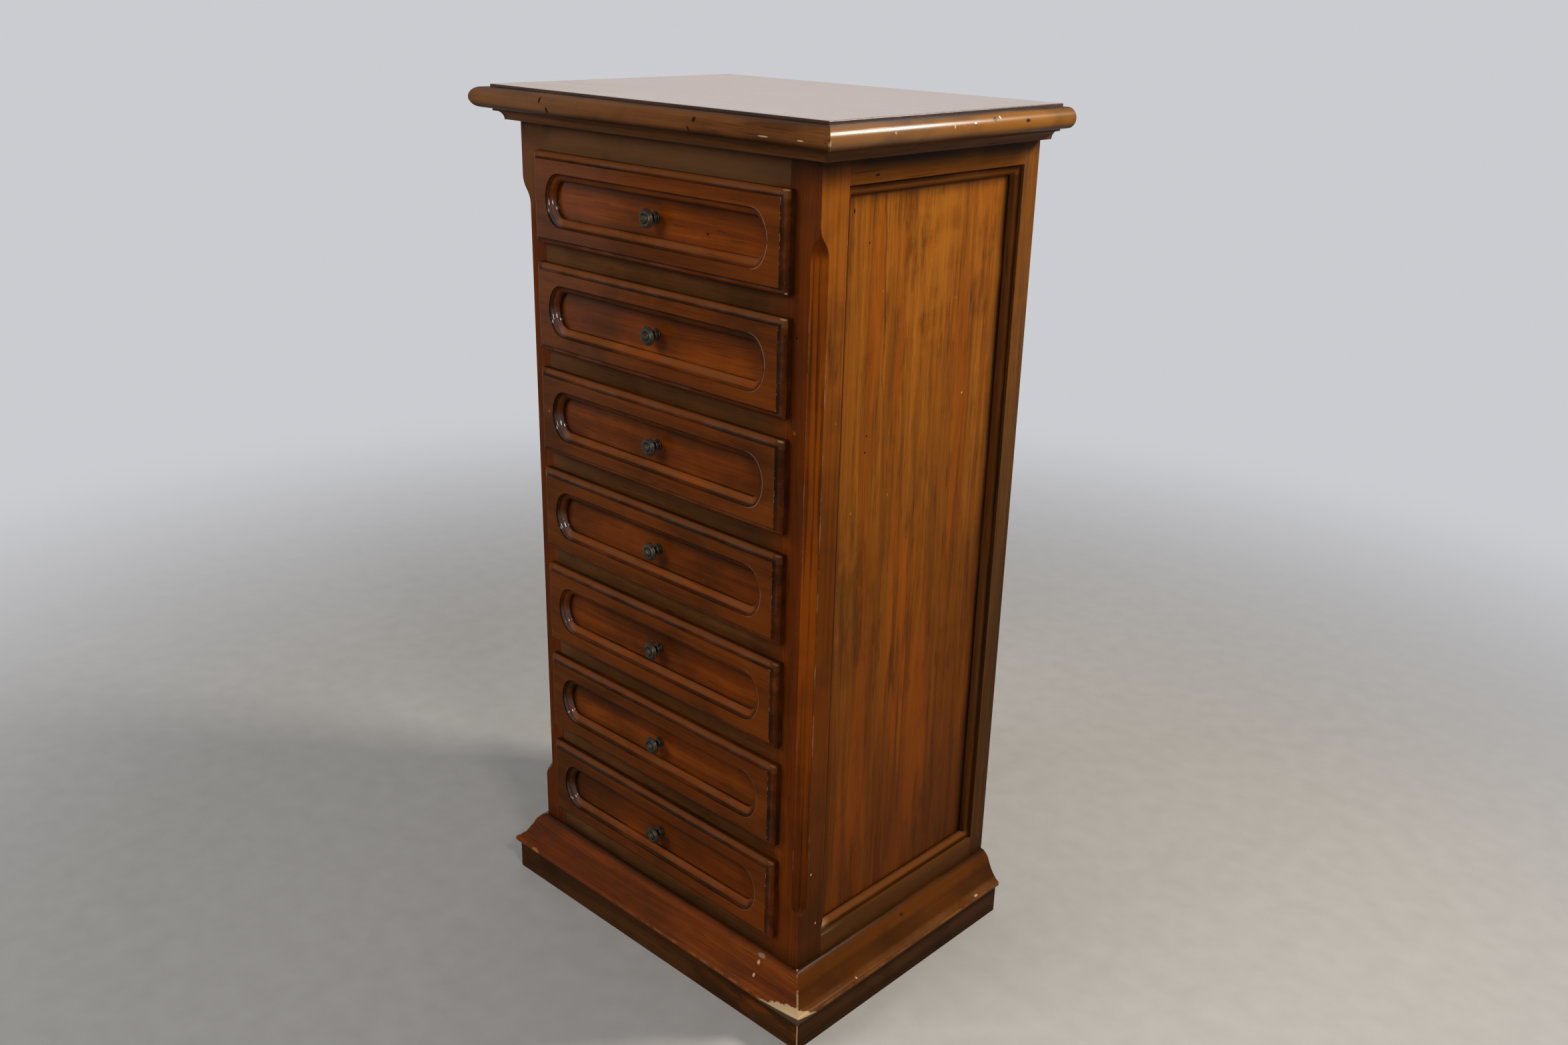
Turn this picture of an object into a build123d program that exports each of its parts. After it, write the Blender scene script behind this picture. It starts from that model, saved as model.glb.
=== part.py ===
"""Tall floor-standing chest with seven equal lipped drawers, panelled sides and a moulded top and base.

Millimetres, +Z up. The front faces -Y. The origin is on the floor, under the middle of the overall box.
"""

from build123d import *
import math
import os

# Drawer stack, seen from the front
drawer_count = 7
lip_width = 461.0
lip_height = 119.0
lip_spacing = 26.4  # carcass that shows between two lips
lip_overlap = 8.0  # lip past the edge of its opening
stile_show = 39.0  # front post that shows beside a lip
top_show = 34.3  # carcass that shows between the top lip and the cornice
bottom_show = 33.0  # carcass that shows between the lowest lip and the base moulding
body_depth = 412.0

# Top
field_overhang_front = 25.0
field_overhang_side = 29.4
field_rise = 3.8
field_edge_radius = 1.0
edging_width = 21.0
edging_thickness = 26.0

# Cornice
cornice_height = 15.0
cornice_setback = 1.2  # behind the edge of the raised field
cornice_fillet = 4.0
cornice_step = 4.8
cornice_cove_width = 7.2
cornice_cove_depth = 1.9

# Base moulding and plinth
plinth_height = 44.0
plinth_projection = 32.0
plinth_thickness = 20.0
base_height = 52.5
base_ledge = 3.6
base_knee_out = 16.4
base_knee_drop = 15.0
base_round_rise = 2.1
base_sweep_depth = 1.8
base_lip_over = 1.2  # past the plinth
base_lip_up = 11.7
base_nose_over = 5.6  # past the plinth
base_nose_up = 7.0

# Corner posts and front rails
front_post_depth = 45.5
back_post_depth = 31.0
chamfer = 15.0
chamfer_margin = 70.0  # from the cornice or the base moulding to the tip of a stop
upper_stop_length = 38.0
lower_stop_length = 27.0
front_rail_thickness = 22.0
carcass_rail_lift = 16.0  # undersides of the bottom rails above the plinth

# Side frames
side_rail_lip = 3.5  # rail behind the panel groove
side_top_rail_show = 30.6
side_bottom_rail_show = 33.0
panel_recess = 13.5
panel_thickness = 5.0
panel_groove = 8.0
panel_moulding_width = 13.5
panel_moulding_setback = 3.8
panel_moulding_edge = 1.6
panel_moulding_rise = 2.9

# Mortise and tenon joints
tenon_length = 14.0
tenon_thickness = 8.0
tenon_shoulder = 6.0

# Back and bottom
back_panel_thickness = 5.0
back_rebate = 12.0
back_rail_thickness = 20.0
back_rail_height = 57.0
bottom_board_thickness = 8.0
bottom_board_inset = 3.0

# Runners, guides and blocks
runner_width = 26.0
guide_rise = 15.0
guide_drop = 15.0
glue_block = 22.0
glue_block_length = 60.0
glue_block_offset = 85.0

# Drawer front
tongue_depth = 8.0
lip_square = 7.0
lip_ovolo = 5.0
lip_cove = 3.8
recess_length = 404.0
recess_height = 70.0
recess_corner_radius = 25.0
recess_end_bulge = 3.0
recess_quirk = 1.2
recess_cove = 4.0
recess_ovolo = 7.0
recess_foot = 1.3

# Drawer box
box_side_thickness = 12.0
box_head_room = 12.7
box_back_thickness = 12.0
box_back_drop = 6.0
box_back_inset = 8.0
box_rear_room = 12.0
box_housing = 5.0
box_dado = 4.0
box_bottom_thickness = 4.0
box_bottom_lift = 8.0
box_bottom_groove = 6.0

# Knob and its screw
knob_foot_radius = 7.6
knob_foot_thickness = 2.6
knob_collar_radius = 6.5
knob_collar_thickness = 2.0
knob_neck_radius = 4.6
knob_neck_rise = 4.4  # over the collar
knob_head_rise = 5.6  # over the neck
knob_waist_hollow = 0.9
knob_radius = 12.4
knob_bead_thickness = 2.8
knob_band_rise = 2.2
knob_band_crown = 1.1
knob_groove = 0.7
knob_dome_radius = 5.6
knob_dome_rise = 3.8
knob_petals = 6
knob_flute_radius = 1.2
knob_flute_depth = 0.6
knob_bore_room = 2.5  # past the end of the screw
screw_radius = 2.0
screw_head_radius = 4.5
screw_head_thickness = 2.6
screw_engagement = 10.0

# Clearances
lip_gap = 0.3  # lip to carcass face, and box to runner
side_gap = 1.2
joint_gap = 0.1
panel_gap = 0.8  # in the bottom of a groove
screw_gap = 0.4

# Heights
base_top = plinth_height + base_height
lowest_lip = base_top + bottom_show
lip_pitch = lip_height + lip_spacing
highest_lip = lowest_lip + drawer_count * lip_pitch - lip_spacing
cornice_bottom = highest_lip + top_show
top_underside = cornice_bottom + cornice_height
edging_top = top_underside + edging_thickness
overall_height = edging_top + field_rise
rail_bottom = plinth_height + carcass_rail_lift
opening_height = lip_height - 2 * lip_overlap

# Widths and depths
body_half = lip_width / 2 + stile_show
field_half = body_half + field_overhang_side
opening_half = lip_width / 2 - lip_overlap
overall_depth = body_depth + field_overhang_front + edging_width
back = overall_depth / 2
front = back - body_depth
field_front = front - field_overhang_front

# Side openings, between posts and rails
side_front = front + front_post_depth
side_back = back - back_post_depth
side_bottom = base_top + side_bottom_rail_show
side_top = cornice_bottom - side_top_rail_show
panel_outside = body_half - panel_recess
panel_inside = panel_outside - panel_thickness
side_rail_inside = panel_inside - side_rail_lip

# Planes inside the carcass
back_panel_front = back - back_panel_thickness
back_rail_front = back_panel_front - back_rail_thickness
rail_rear = front + front_rail_thickness

# Drawer planes
face_proud = lip_square + lip_ovolo + lip_cove
recess_wall = recess_cove + recess_ovolo
recess_depth = recess_quirk + recess_wall + recess_foot
face_plane = front - face_proud
lip_rear = front - lip_gap
tongue_rear = front + tongue_depth
recess_floor = face_plane + recess_depth
box_half = opening_half - side_gap
box_inner_half = box_half - box_side_thickness
box_side_height = opening_height - lip_gap - box_head_room
box_rear = back_rail_front - box_rear_room


def block(x0, x1, y0, y1, z0, z1):
    """A box between two corners."""
    return Pos((x0 + x1) / 2, (y0 + y1) / 2, (z0 + z1) / 2) * Box(x1 - x0, y1 - y0, z1 - z0)


def bowed(start, end, rise):
    """An arc from start to end whose middle stands rise to the left of the straight line."""
    across = (end[0] - start[0], end[1] - start[1])
    length = math.hypot(*across)
    middle = (
        (start[0] + end[0]) / 2 - across[1] / length * rise,
        (start[1] + end[1]) / 2 + across[0] / length * rise,
    )
    return ThreePointArc(start, middle, end)


def left_of(right_piece):
    """The mirror image across the middle of the chest."""
    return mirror(right_piece, about=Plane.YZ)


def mitred_front(profile, half_width, plane_y, reach_front, reach_side):
    """A moulding along the front, whose profile runs outwards and up, mitred at both ends."""
    half_length = half_width + reach_side
    section = Plane((half_length, plane_y, 0), x_dir=(0, -1, 0), z_dir=(-1, 0, 0))
    bar = extrude(section * profile, 2 * half_length)
    outline = Polyline(
        (-half_width, plane_y),
        (half_width, plane_y),
        (half_length, plane_y - reach_front),
        (-half_length, plane_y - reach_front),
        close=True,
    )
    return bar & extrude(make_face(outline), overall_height)


def mitred_right(profile, half_width, plane_y, reach_front, reach_side):
    """The same moulding along the right side, mitred at the front and square at the back."""
    length = back - plane_y + reach_front
    section = Plane((half_width, back, 0), x_dir=(1, 0, 0), z_dir=(0, -1, 0))
    bar = extrude(section * profile, length)
    outline = Polyline(
        (half_width, plane_y),
        (half_width + reach_side, plane_y - reach_front),
        (half_width + reach_side, back),
        (half_width, back),
        close=True,
    )
    return bar & extrude(make_face(outline), overall_height)


def mitred_set(front_profile, side_profile, half_width, plane_y, reach_front, reach_side):
    """The front, right and left lengths of a moulding."""
    across = mitred_front(front_profile, half_width, plane_y, reach_front, reach_side)
    right = mitred_right(side_profile, half_width, plane_y, reach_front, reach_side)
    return [across, right, left_of(right)]


def top_panel():
    """The top board, with the edge of its raised field eased."""
    board = block(-field_half, field_half, field_front, back, top_underside, overall_height)
    upper = board.edges().group_by(Axis.Z)[-1]
    rear = upper.sort_by(Axis.Y)[-1]
    eased = [edge for edge in upper if edge != rear]
    return fillet(eased, field_edge_radius)


def top_edging():
    """Bullnose lengths round the front and sides of the top."""
    nose_start = edging_width - edging_thickness / 2
    middle = top_underside + edging_thickness / 2
    profile = make_face(
        Line((0, top_underside), (nose_start, top_underside))
        + ThreePointArc((nose_start, top_underside), (edging_width, middle), (nose_start, edging_top))
        + Line((nose_start, edging_top), (0, edging_top))
        + Line((0, edging_top), (0, top_underside))
    )
    return mitred_set(profile, profile, field_half, field_front, edging_width, edging_width)


def cornice_profile(reach):
    """Fillet over a shallow cove, reaching out from the body."""
    cove_foot = (reach - cornice_step - cornice_cove_width, cornice_bottom)
    cove_head = (reach - cornice_step, top_underside - cornice_fillet)
    return make_face(
        Line((0, cornice_bottom), cove_foot)
        + bowed(cove_foot, cove_head, cornice_cove_depth)
        + Line(cove_head, (reach, cove_head[1]))
        + Line((reach, cove_head[1]), (reach, top_underside))
        + Line((reach, top_underside), (0, top_underside))
        + Line((0, top_underside), (0, cornice_bottom))
    )


def cornice():
    """Cornice lengths under the top."""
    reach_front = field_overhang_front - cornice_setback
    reach_side = field_overhang_side - cornice_setback
    return mitred_set(
        cornice_profile(reach_front), cornice_profile(reach_side), body_half, front, reach_front, reach_side
    )


def base_moulding():
    """Base lengths: a ledge and a round, a long sweep, and a nosed lip over the plinth."""
    ledge_edge = (base_ledge, base_top)
    knee = (base_knee_out, base_top - base_knee_drop)
    lip = (plinth_projection + base_lip_over, plinth_height + base_lip_up)
    nose = (plinth_projection + base_nose_over, plinth_height + base_nose_up)
    foot = (plinth_projection, plinth_height)
    profile = make_face(
        Line((0, base_top), ledge_edge)
        + bowed(ledge_edge, knee, base_round_rise)
        + bowed(knee, lip, -base_sweep_depth)
        + ThreePointArc(lip, nose, foot)
        + Line(foot, (0, plinth_height))
        + Line((0, plinth_height), (0, base_top))
    )
    return mitred_set(profile, profile, body_half, front, nose[0], nose[0])


def plinth():
    """Plinth boards, standing off the body."""
    standoff = plinth_projection - plinth_thickness
    profile = make_face(
        Polyline((0, 0), (plinth_thickness, 0), (plinth_thickness, plinth_height), (0, plinth_height), close=True)
    )
    return mitred_set(
        profile, profile, body_half + standoff, front - standoff, plinth_thickness, plinth_thickness
    )


def plinth_blocks():
    """Packing between the posts and the plinth boards."""
    standoff = plinth_projection - plinth_thickness
    front_pack = block(opening_half, body_half, front - standoff, front, 0, plinth_height)
    side_pack = block(body_half, body_half + standoff, front, side_front, 0, plinth_height)
    rear_pack = block(body_half, body_half + standoff, side_back, back, 0, plinth_height)
    right = [front_pack, side_pack, rear_pack]
    return right + [left_of(piece) for piece in right]


def front_rail_spans():
    """Lower and upper edge of each front rail, from the bottom rail up to the top rail."""
    spans = []
    lower = rail_bottom
    for number in range(drawer_count):
        upper = lowest_lip + number * lip_pitch + lip_overlap
        spans.append((lower, upper))
        lower = upper + opening_height
    spans.append((lower, top_underside))
    return spans


def front_tenon(span, gap):
    """Tenon of a front rail in the right post, or its mortise when gap is over zero."""
    middle = front + front_rail_thickness / 2
    return block(
        opening_half,
        opening_half + tenon_length + gap,
        middle - tenon_thickness / 2 - gap,
        middle + tenon_thickness / 2 + gap,
        span[0] + tenon_shoulder - gap,
        span[1] - tenon_shoulder + gap,
    )


def front_rail(span):
    """A rail across the front, tenoned at both ends."""
    rail = block(-opening_half, opening_half, front, rail_rear, *span)
    tenon = front_tenon(span, 0)
    return rail + tenon + left_of(tenon)


def side_rail_spans():
    """Lower and upper edge of the bottom and top side rails."""
    return [(rail_bottom, side_bottom), (side_top, top_underside)]


def side_tenons(span, gap):
    """Tenons of a right side rail in the two posts, kept clear of the panel groove."""
    middle = (side_rail_inside + body_half) / 2
    lower = span[0] + tenon_shoulder
    upper = span[1] - tenon_shoulder
    if span[1] == side_bottom:
        upper -= panel_groove
    else:
        lower += panel_groove
    sides = (middle - tenon_thickness / 2 - gap, middle + tenon_thickness / 2 + gap)
    heights = (lower - gap, upper + gap)
    at_front = block(*sides, side_front - tenon_length - gap, side_front, *heights)
    at_back = block(*sides, side_back, side_back + tenon_length + gap, *heights)
    return [at_front, at_back]


def panel_groove_cut():
    """The space that the right side panel takes in its frame."""
    return block(
        panel_inside - joint_gap,
        panel_outside + joint_gap,
        side_front - panel_groove,
        side_back + panel_groove,
        side_bottom - panel_groove,
        side_top + panel_groove,
    )


def right_side_rails():
    """Bottom and top rail of the right side, grooved for the panel."""
    rails = []
    for span in side_rail_spans():
        rail = block(side_rail_inside, body_half, side_front, side_back, *span)
        for tenon in side_tenons(span, 0):
            rail += tenon
        rails.append(rail - panel_groove_cut())
    return rails


def right_side_panel():
    """The thin panel, loose in its groove."""
    slack = panel_groove - panel_gap
    return block(
        panel_inside,
        panel_outside,
        side_front - slack,
        side_back + slack,
        side_bottom - slack,
        side_top + slack,
    )


def panel_strip(length):
    """Panel moulding of one length: X along the strip, Y in towards the panel's middle, Z outwards."""
    crest = panel_recess - panel_moulding_setback
    profile = make_face(
        Line((0, 0), (panel_moulding_width, 0))
        + Line((panel_moulding_width, 0), (panel_moulding_width, panel_moulding_edge))
        + bowed((panel_moulding_width, panel_moulding_edge), (0, crest), -panel_moulding_rise)
        + Line((0, crest), (0, 0))
    )
    bar = extrude(Plane((-length / 2, 0, 0), x_dir=(0, 1, 0), z_dir=(1, 0, 0)) * profile, length)
    outline = Polyline(
        (-length / 2, 0),
        (length / 2, 0),
        (length / 2 - panel_moulding_width, panel_moulding_width),
        (panel_moulding_width - length / 2, panel_moulding_width),
        close=True,
    )
    return bar & extrude(make_face(outline), panel_recess)


def right_panel_moulding():
    """Four mitred strips round the outside of the right panel."""
    depth = side_back - side_front
    height = side_top - side_bottom
    middle_y = (side_front + side_back) / 2
    middle_z = (side_bottom + side_top) / 2
    upright = panel_strip(height)
    level = panel_strip(depth)
    outwards = (1, 0, 0)
    return [
        Plane((panel_outside, middle_y, side_bottom), x_dir=(0, 1, 0), z_dir=outwards) * level,
        Plane((panel_outside, middle_y, side_top), x_dir=(0, -1, 0), z_dir=outwards) * level,
        Plane((panel_outside, side_front, middle_z), x_dir=(0, 0, -1), z_dir=outwards) * upright,
        Plane((panel_outside, side_back, middle_z), x_dir=(0, 0, 1), z_dir=outwards) * upright,
    ]


def chamfer_cut():
    """Waste of the stopped chamfer on the right front corner, with S-shaped stops."""
    depth = chamfer / math.sqrt(2)
    low_tip = base_top + chamfer_margin
    low_full = low_tip + lower_stop_length
    high_tip = cornice_bottom - chamfer_margin
    high_full = high_tip - upper_stop_length
    low_turn = (depth / 2, (low_tip + low_full) / 2)
    high_turn = (depth / 2, (high_tip + high_full) / 2)
    low_start = TangentArc((0, low_tip), low_turn, tangent=(0, 1))
    low_end = TangentArc((depth, low_full), low_turn, tangent=(0, -1))
    high_end = TangentArc((depth, high_full), high_turn, tangent=(0, 1))
    high_start = TangentArc((0, high_tip), high_turn, tangent=(0, -1))
    profile = make_face(
        Line((-chamfer, low_tip), (0, low_tip))
        + low_start
        + low_end
        + Line((depth, low_full), (depth, high_full))
        + high_end
        + high_start
        + Line((0, high_tip), (-chamfer, high_tip))
        + Line((-chamfer, high_tip), (-chamfer, low_tip))
    )
    corner = Plane((body_half, front, 0), x_dir=(-1, 1, 0), z_dir=(1, 1, 0))
    return extrude(corner * profile, chamfer, both=True)


def right_front_post():
    """Front corner post with its mortises, panel groove and stopped chamfer."""
    post = block(opening_half, body_half, front, side_front, 0, top_underside)
    for span in front_rail_spans():
        post -= front_tenon(span, joint_gap)
    for span in side_rail_spans():
        post -= side_tenons(span, joint_gap)[0]
    return post - panel_groove_cut() - chamfer_cut()


def right_back_post():
    """Back post with its mortises, panel groove and the rebate for the back panel."""
    post = block(opening_half, body_half, side_back, back, 0, top_underside)
    for span in side_rail_spans():
        post -= side_tenons(span, joint_gap)[1]
    rebate = block(
        opening_half,
        opening_half + back_rebate + joint_gap,
        back_panel_front,
        back,
        rail_bottom - joint_gap,
        top_underside,
    )
    return post - panel_groove_cut() - rebate


def back_panel():
    """Thin panel let into the back posts."""
    half = opening_half + back_rebate
    return block(-half, half, back_panel_front, back, rail_bottom, top_underside)


def back_rails():
    """Bottom and top rail between the back posts, in front of the back panel."""
    spans = [
        (rail_bottom, rail_bottom + back_rail_height),
        (top_underside - back_rail_height, top_underside),
    ]
    return [block(-opening_half, opening_half, back_rail_front, back_panel_front, *span) for span in spans]


def bottom_board():
    """Thin board under the bottom rails, notched round the four posts."""
    half = body_half - bottom_board_inset
    heights = (rail_bottom - bottom_board_thickness, rail_bottom)
    board = block(-half, half, front + bottom_board_inset, back_panel_front, *heights)
    notch = opening_half - joint_gap
    front_notch = block(notch, body_half, front, side_front + joint_gap, *heights)
    rear_notch = block(notch, body_half, side_back - joint_gap, back, *heights)
    for corner in (front_notch, rear_notch):
        board = board - corner - left_of(corner)
    return board


def drawer_runners():
    """Bars behind each front rail: runner for the drawer above, kicker for the one below."""
    inner = opening_half - runner_width
    right = [block(inner, opening_half, rail_rear, back_rail_front, *span) for span in front_rail_spans()]
    return right + [left_of(piece) for piece in right]


def drawer_guides():
    """Battens between the posts that carry the runners and guide the drawer sides."""
    right = []
    for span in front_rail_spans()[:drawer_count]:
        heights = (span[1] - guide_drop, span[1] + guide_rise)
        right.append(block(opening_half, side_rail_inside, side_front, side_back, *heights))
    return right + [left_of(piece) for piece in right]


def glue_blocks():
    """Blocks in the angle between the top and its rails."""
    heights = (top_underside - glue_block, top_underside)
    half = glue_block_length / 2
    pieces = []
    for centre in (-glue_block_offset, glue_block_offset):
        span = (centre - half, centre + half)
        pieces.append(block(*span, rail_rear, rail_rear + glue_block, *heights))
        pieces.append(block(*span, back_rail_front - glue_block, back_rail_front, *heights))
        middle = (side_front + side_back) / 2
        beside = block(
            opening_half,
            side_rail_inside,
            middle + span[0],
            middle + span[1],
            *heights,
        )
        pieces += [beside, left_of(beside)]
    return pieces


def arched_end(start, heading, half_height, corner_radius):
    """Three tangent arcs, clockwise, round one end of the oblong."""
    end_run = corner_radius + recess_end_bulge
    flat_radius = (end_run**2 + half_height**2 - 2 * half_height * corner_radius) / (2 * recess_end_bulge)
    turn = math.degrees(math.atan2(half_height - corner_radius, flat_radius - end_run))
    first = JernArc(start, heading, corner_radius, turn - 90)
    flat = JernArc(first @ 1, first % 1, flat_radius, -2 * turn)
    last = JernArc(flat @ 1, flat % 1, corner_radius, turn - 90)
    return [first, flat, last]


def oblong(half_length, half_height, corner_radius):
    """Outline with straight long sides and flattened arched ends."""
    straight = half_length - corner_radius - recess_end_bulge
    upper = Line((-straight, half_height), (straight, half_height))
    lower = Line((straight, -half_height), (-straight, -half_height))
    edges = [upper, *arched_end(upper @ 1, upper % 1, half_height, corner_radius)]
    edges += [lower, *arched_end(lower @ 1, lower % 1, half_height, corner_radius)]
    return Wire([piece.edge() for piece in edges])


def recess_outline(inset):
    """Outline of the sunk field on the drawer front, set in from its rim, facing the front."""
    outline = oblong(recess_length / 2 - inset, recess_height / 2 - inset, recess_corner_radius - inset)
    return Plane((0, face_plane, 0), x_dir=(1, 0, 0), z_dir=(0, -1, 0)) * outline


def recess_cut():
    """Waste of the sunk field: a straight middle and a moulded wall swept round the rim."""
    cove_end = (recess_cove, recess_quirk + recess_cove)
    ovolo_end = (recess_wall, cove_end[1] + recess_ovolo)
    cove_corner = recess_cove * (1 - math.sqrt(0.5))
    ovolo_corner = recess_ovolo * math.sqrt(0.5)
    inside = recess_wall + recess_quirk
    profile = make_face(
        Line((0, 0), (0, recess_quirk))
        + ThreePointArc((0, recess_quirk), (cove_corner, cove_end[1] - cove_corner), cove_end)
        + ThreePointArc(
            cove_end,
            (cove_end[0] + ovolo_corner, ovolo_end[1] - ovolo_corner),
            ovolo_end,
        )
        + Line(ovolo_end, (recess_wall, recess_depth))
        + Line((recess_wall, recess_depth), (inside, recess_depth))
        + Line((inside, recess_depth), (inside, 0))
        + Line((inside, 0), (0, 0))
    )
    rim = recess_outline(0)
    start = rim @ 0
    section = Plane(start, x_dir=(0, 0, -1), z_dir=(1, 0, 0))
    ring = sweep(section * profile, path=rim)
    middle = extrude(make_face(recess_outline(recess_wall)), recess_depth, dir=(0, 1, 0))
    return ring, middle


def lip_waste(length):
    """Waste along one edge of a drawer front: X along the edge, Y inwards, Z out to the front."""
    reach = lip_ovolo + lip_cove
    shoulder = lip_square + lip_ovolo
    ovolo_corner = lip_ovolo * (1 - math.sqrt(0.5))
    cove_corner = lip_cove * math.sqrt(0.5)
    profile = make_face(
        ThreePointArc((0, lip_square), (ovolo_corner, shoulder - ovolo_corner), (lip_ovolo, shoulder))
        + ThreePointArc(
            (lip_ovolo, shoulder),
            (lip_ovolo + cove_corner, face_proud - cove_corner),
            (reach, face_proud),
        )
        + Line((reach, face_proud), (0, face_proud))
        + Line((0, face_proud), (0, lip_square))
    )
    return extrude(Plane((-length / 2, 0, 0), x_dir=(0, 1, 0), z_dir=(1, 0, 0)) * profile, length)


def drawer_front(lip_bottom):
    """Front board with a moulded lip, a sunk field and housings for the box."""
    lip_top = lip_bottom + lip_height
    opening_bottom = lip_bottom + lip_overlap
    middle = lip_bottom + lip_height / 2
    board = block(-lip_width / 2, lip_width / 2, face_plane, lip_rear, lip_bottom, lip_top)
    outwards = (0, -1, 0)
    level = lip_waste(lip_width)
    upright = lip_waste(lip_height)
    board -= Plane((0, front, lip_bottom), x_dir=(1, 0, 0), z_dir=outwards) * level
    board -= Plane((0, front, lip_top), x_dir=(-1, 0, 0), z_dir=outwards) * level
    board -= Plane((-lip_width / 2, front, middle), x_dir=(0, 0, -1), z_dir=outwards) * upright
    board -= Plane((lip_width / 2, front, middle), x_dir=(0, 0, 1), z_dir=outwards) * upright
    tongue_heights = (opening_bottom + side_gap, opening_bottom + opening_height - side_gap)
    board += block(-box_half, box_half, lip_rear, tongue_rear, *tongue_heights)
    for waste in recess_cut():
        board -= Pos(0, 0, middle) * waste
    housing = box_side_right(lip_bottom, joint_gap)
    board = board - housing - left_of(housing)
    board -= box_bottom(lip_bottom, joint_gap)
    hole = Cylinder(screw_radius + screw_gap, 2 * (tongue_rear - recess_floor))
    return board - Pos(0, tongue_rear, middle) * Rot(X=90) * hole


def box_base(lip_bottom):
    """Lower edge of the drawer box, just over its runners."""
    return lip_bottom + lip_overlap + lip_gap


def box_side_right(lip_bottom, gap):
    """Plain right side of a drawer box, or the housing for it when gap is over zero."""
    base = box_base(lip_bottom)
    return block(
        box_inner_half - gap,
        box_half + gap,
        tongue_rear - box_housing - gap,
        box_rear,
        base - gap,
        base + box_side_height + gap,
    )


def box_bottom(lip_bottom, gap):
    """Bottom panel of a drawer box, or its groove when gap is over zero."""
    half = box_inner_half + box_bottom_groove
    lower = box_base(lip_bottom) + box_bottom_lift
    return block(
        -half - gap,
        half + gap,
        tongue_rear - box_housing - gap,
        box_rear,
        lower - gap,
        lower + box_bottom_thickness + gap,
    )


def box_back(lip_bottom, gap):
    """Back of a drawer box on its bottom panel, or its dadoes when gap is over zero."""
    half = box_inner_half + box_dado
    rear = box_rear - box_back_inset
    base = box_base(lip_bottom)
    return block(
        -half - gap,
        half + gap,
        rear - box_back_thickness - gap,
        rear + gap,
        base + box_bottom_lift + box_bottom_thickness,
        base + box_side_height - box_back_drop + gap,
    )


def box_sides(lip_bottom):
    """Both sides of a drawer box, grooved for the bottom and dadoed for the back."""
    side = box_side_right(lip_bottom, 0)
    side = side - box_bottom(lip_bottom, joint_gap) - box_back(lip_bottom, joint_gap)
    return [side, left_of(side)]


def turned_ring(radius, lower, thickness):
    """Start, crown and end of the half-round edge of a turned ring."""
    inner = radius - thickness / 2
    return (inner, lower), (radius, lower + thickness / 2), (inner, lower + thickness)


def petal_flutes(dome_edge, tip):
    """Round cutters that part the petals on the dome of a knob."""
    run = dome_edge[0]
    rise = tip[1] - dome_edge[1]
    chord = math.hypot(run, rise)
    dome_radius = chord**2 / (2 * rise)
    bulge = dome_radius - math.sqrt(dome_radius**2 - chord**2 / 4)
    lift = bulge - knob_flute_depth + knob_flute_radius
    slope = Rot(Y=math.degrees(math.atan2(rise, run)))
    cutter = slope * Pos(0, 0, lift) * Rot(Y=90) * Cylinder(knob_flute_radius, chord)
    cutter = Pos(run / 2, 0, dome_edge[1] + rise / 2) * cutter
    return [Rot(Z=360 / knob_petals * turn) * cutter for turn in range(knob_petals)]


def knob_and_screw(lip_bottom):
    """Turned knob standing on the sunk field, and the screw that holds it from inside."""
    foot = turned_ring(knob_foot_radius, 0, knob_foot_thickness)
    collar = turned_ring(knob_collar_radius, knob_foot_thickness, knob_collar_thickness)
    neck = (knob_neck_radius, collar[2][1] + knob_neck_rise)
    bead = turned_ring(knob_radius, neck[1] + knob_head_rise, knob_bead_thickness)
    band_edge = (knob_dome_radius + knob_groove, bead[2][1] + knob_band_rise)
    dome_edge = (knob_dome_radius, band_edge[1] - knob_groove)
    tip = (0, dome_edge[1] + knob_dome_rise)
    profile = make_face(
        Line((0, 0), foot[0])
        + ThreePointArc(*foot)
        + Line(foot[2], collar[0])
        + ThreePointArc(*collar)
        + bowed(collar[2], neck, knob_waist_hollow)
        + bowed(neck, bead[0], knob_waist_hollow)
        + ThreePointArc(*bead)
        + bowed(bead[2], band_edge, -knob_band_crown)
        + Line(band_edge, dome_edge)
        + TangentArc(tip, dome_edge, tangent=(1, 0))
        + Line(tip, (0, 0))
    )
    turned = revolve(Plane.XZ * profile, Axis.Z)
    for cutter in petal_flutes(dome_edge, tip):
        turned -= cutter
    standing = (Align.CENTER, Align.CENTER, Align.MIN)
    hanging = (Align.CENTER, Align.CENTER, Align.MAX)
    bore = Cylinder(screw_radius + joint_gap, screw_engagement + knob_bore_room, align=standing)
    middle = lip_bottom + lip_height / 2
    out = Rot(X=90)
    knob = Pos(0, recess_floor, middle) * out * (turned - bore)
    shank = Cylinder(screw_radius, tongue_rear - recess_floor + screw_engagement, align=standing)
    head = Cylinder(screw_head_radius, screw_head_thickness, align=hanging)
    screw = Pos(0, tongue_rear, middle) * out * (shank + head)
    return [knob, screw]


def save(node, pieces):
    """Writes one node, as a single solid or as a group of separate solids."""
    group = pieces if isinstance(pieces, list) else [pieces]
    solids = [solid for piece in group for solid in piece.solids()]
    shape = solids[0] if len(solids) == 1 else Compound(children=solids)
    export_step(shape, os.path.join("parts", node + ".step"))


def save_sides(node, right_pieces):
    """Writes the right-hand node and its mirror image."""
    group = right_pieces if isinstance(right_pieces, list) else [right_pieces]
    save(node + "_right", group)
    save(node + "_left", [left_of(piece) for piece in group])


os.makedirs("parts", exist_ok=True)

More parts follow.
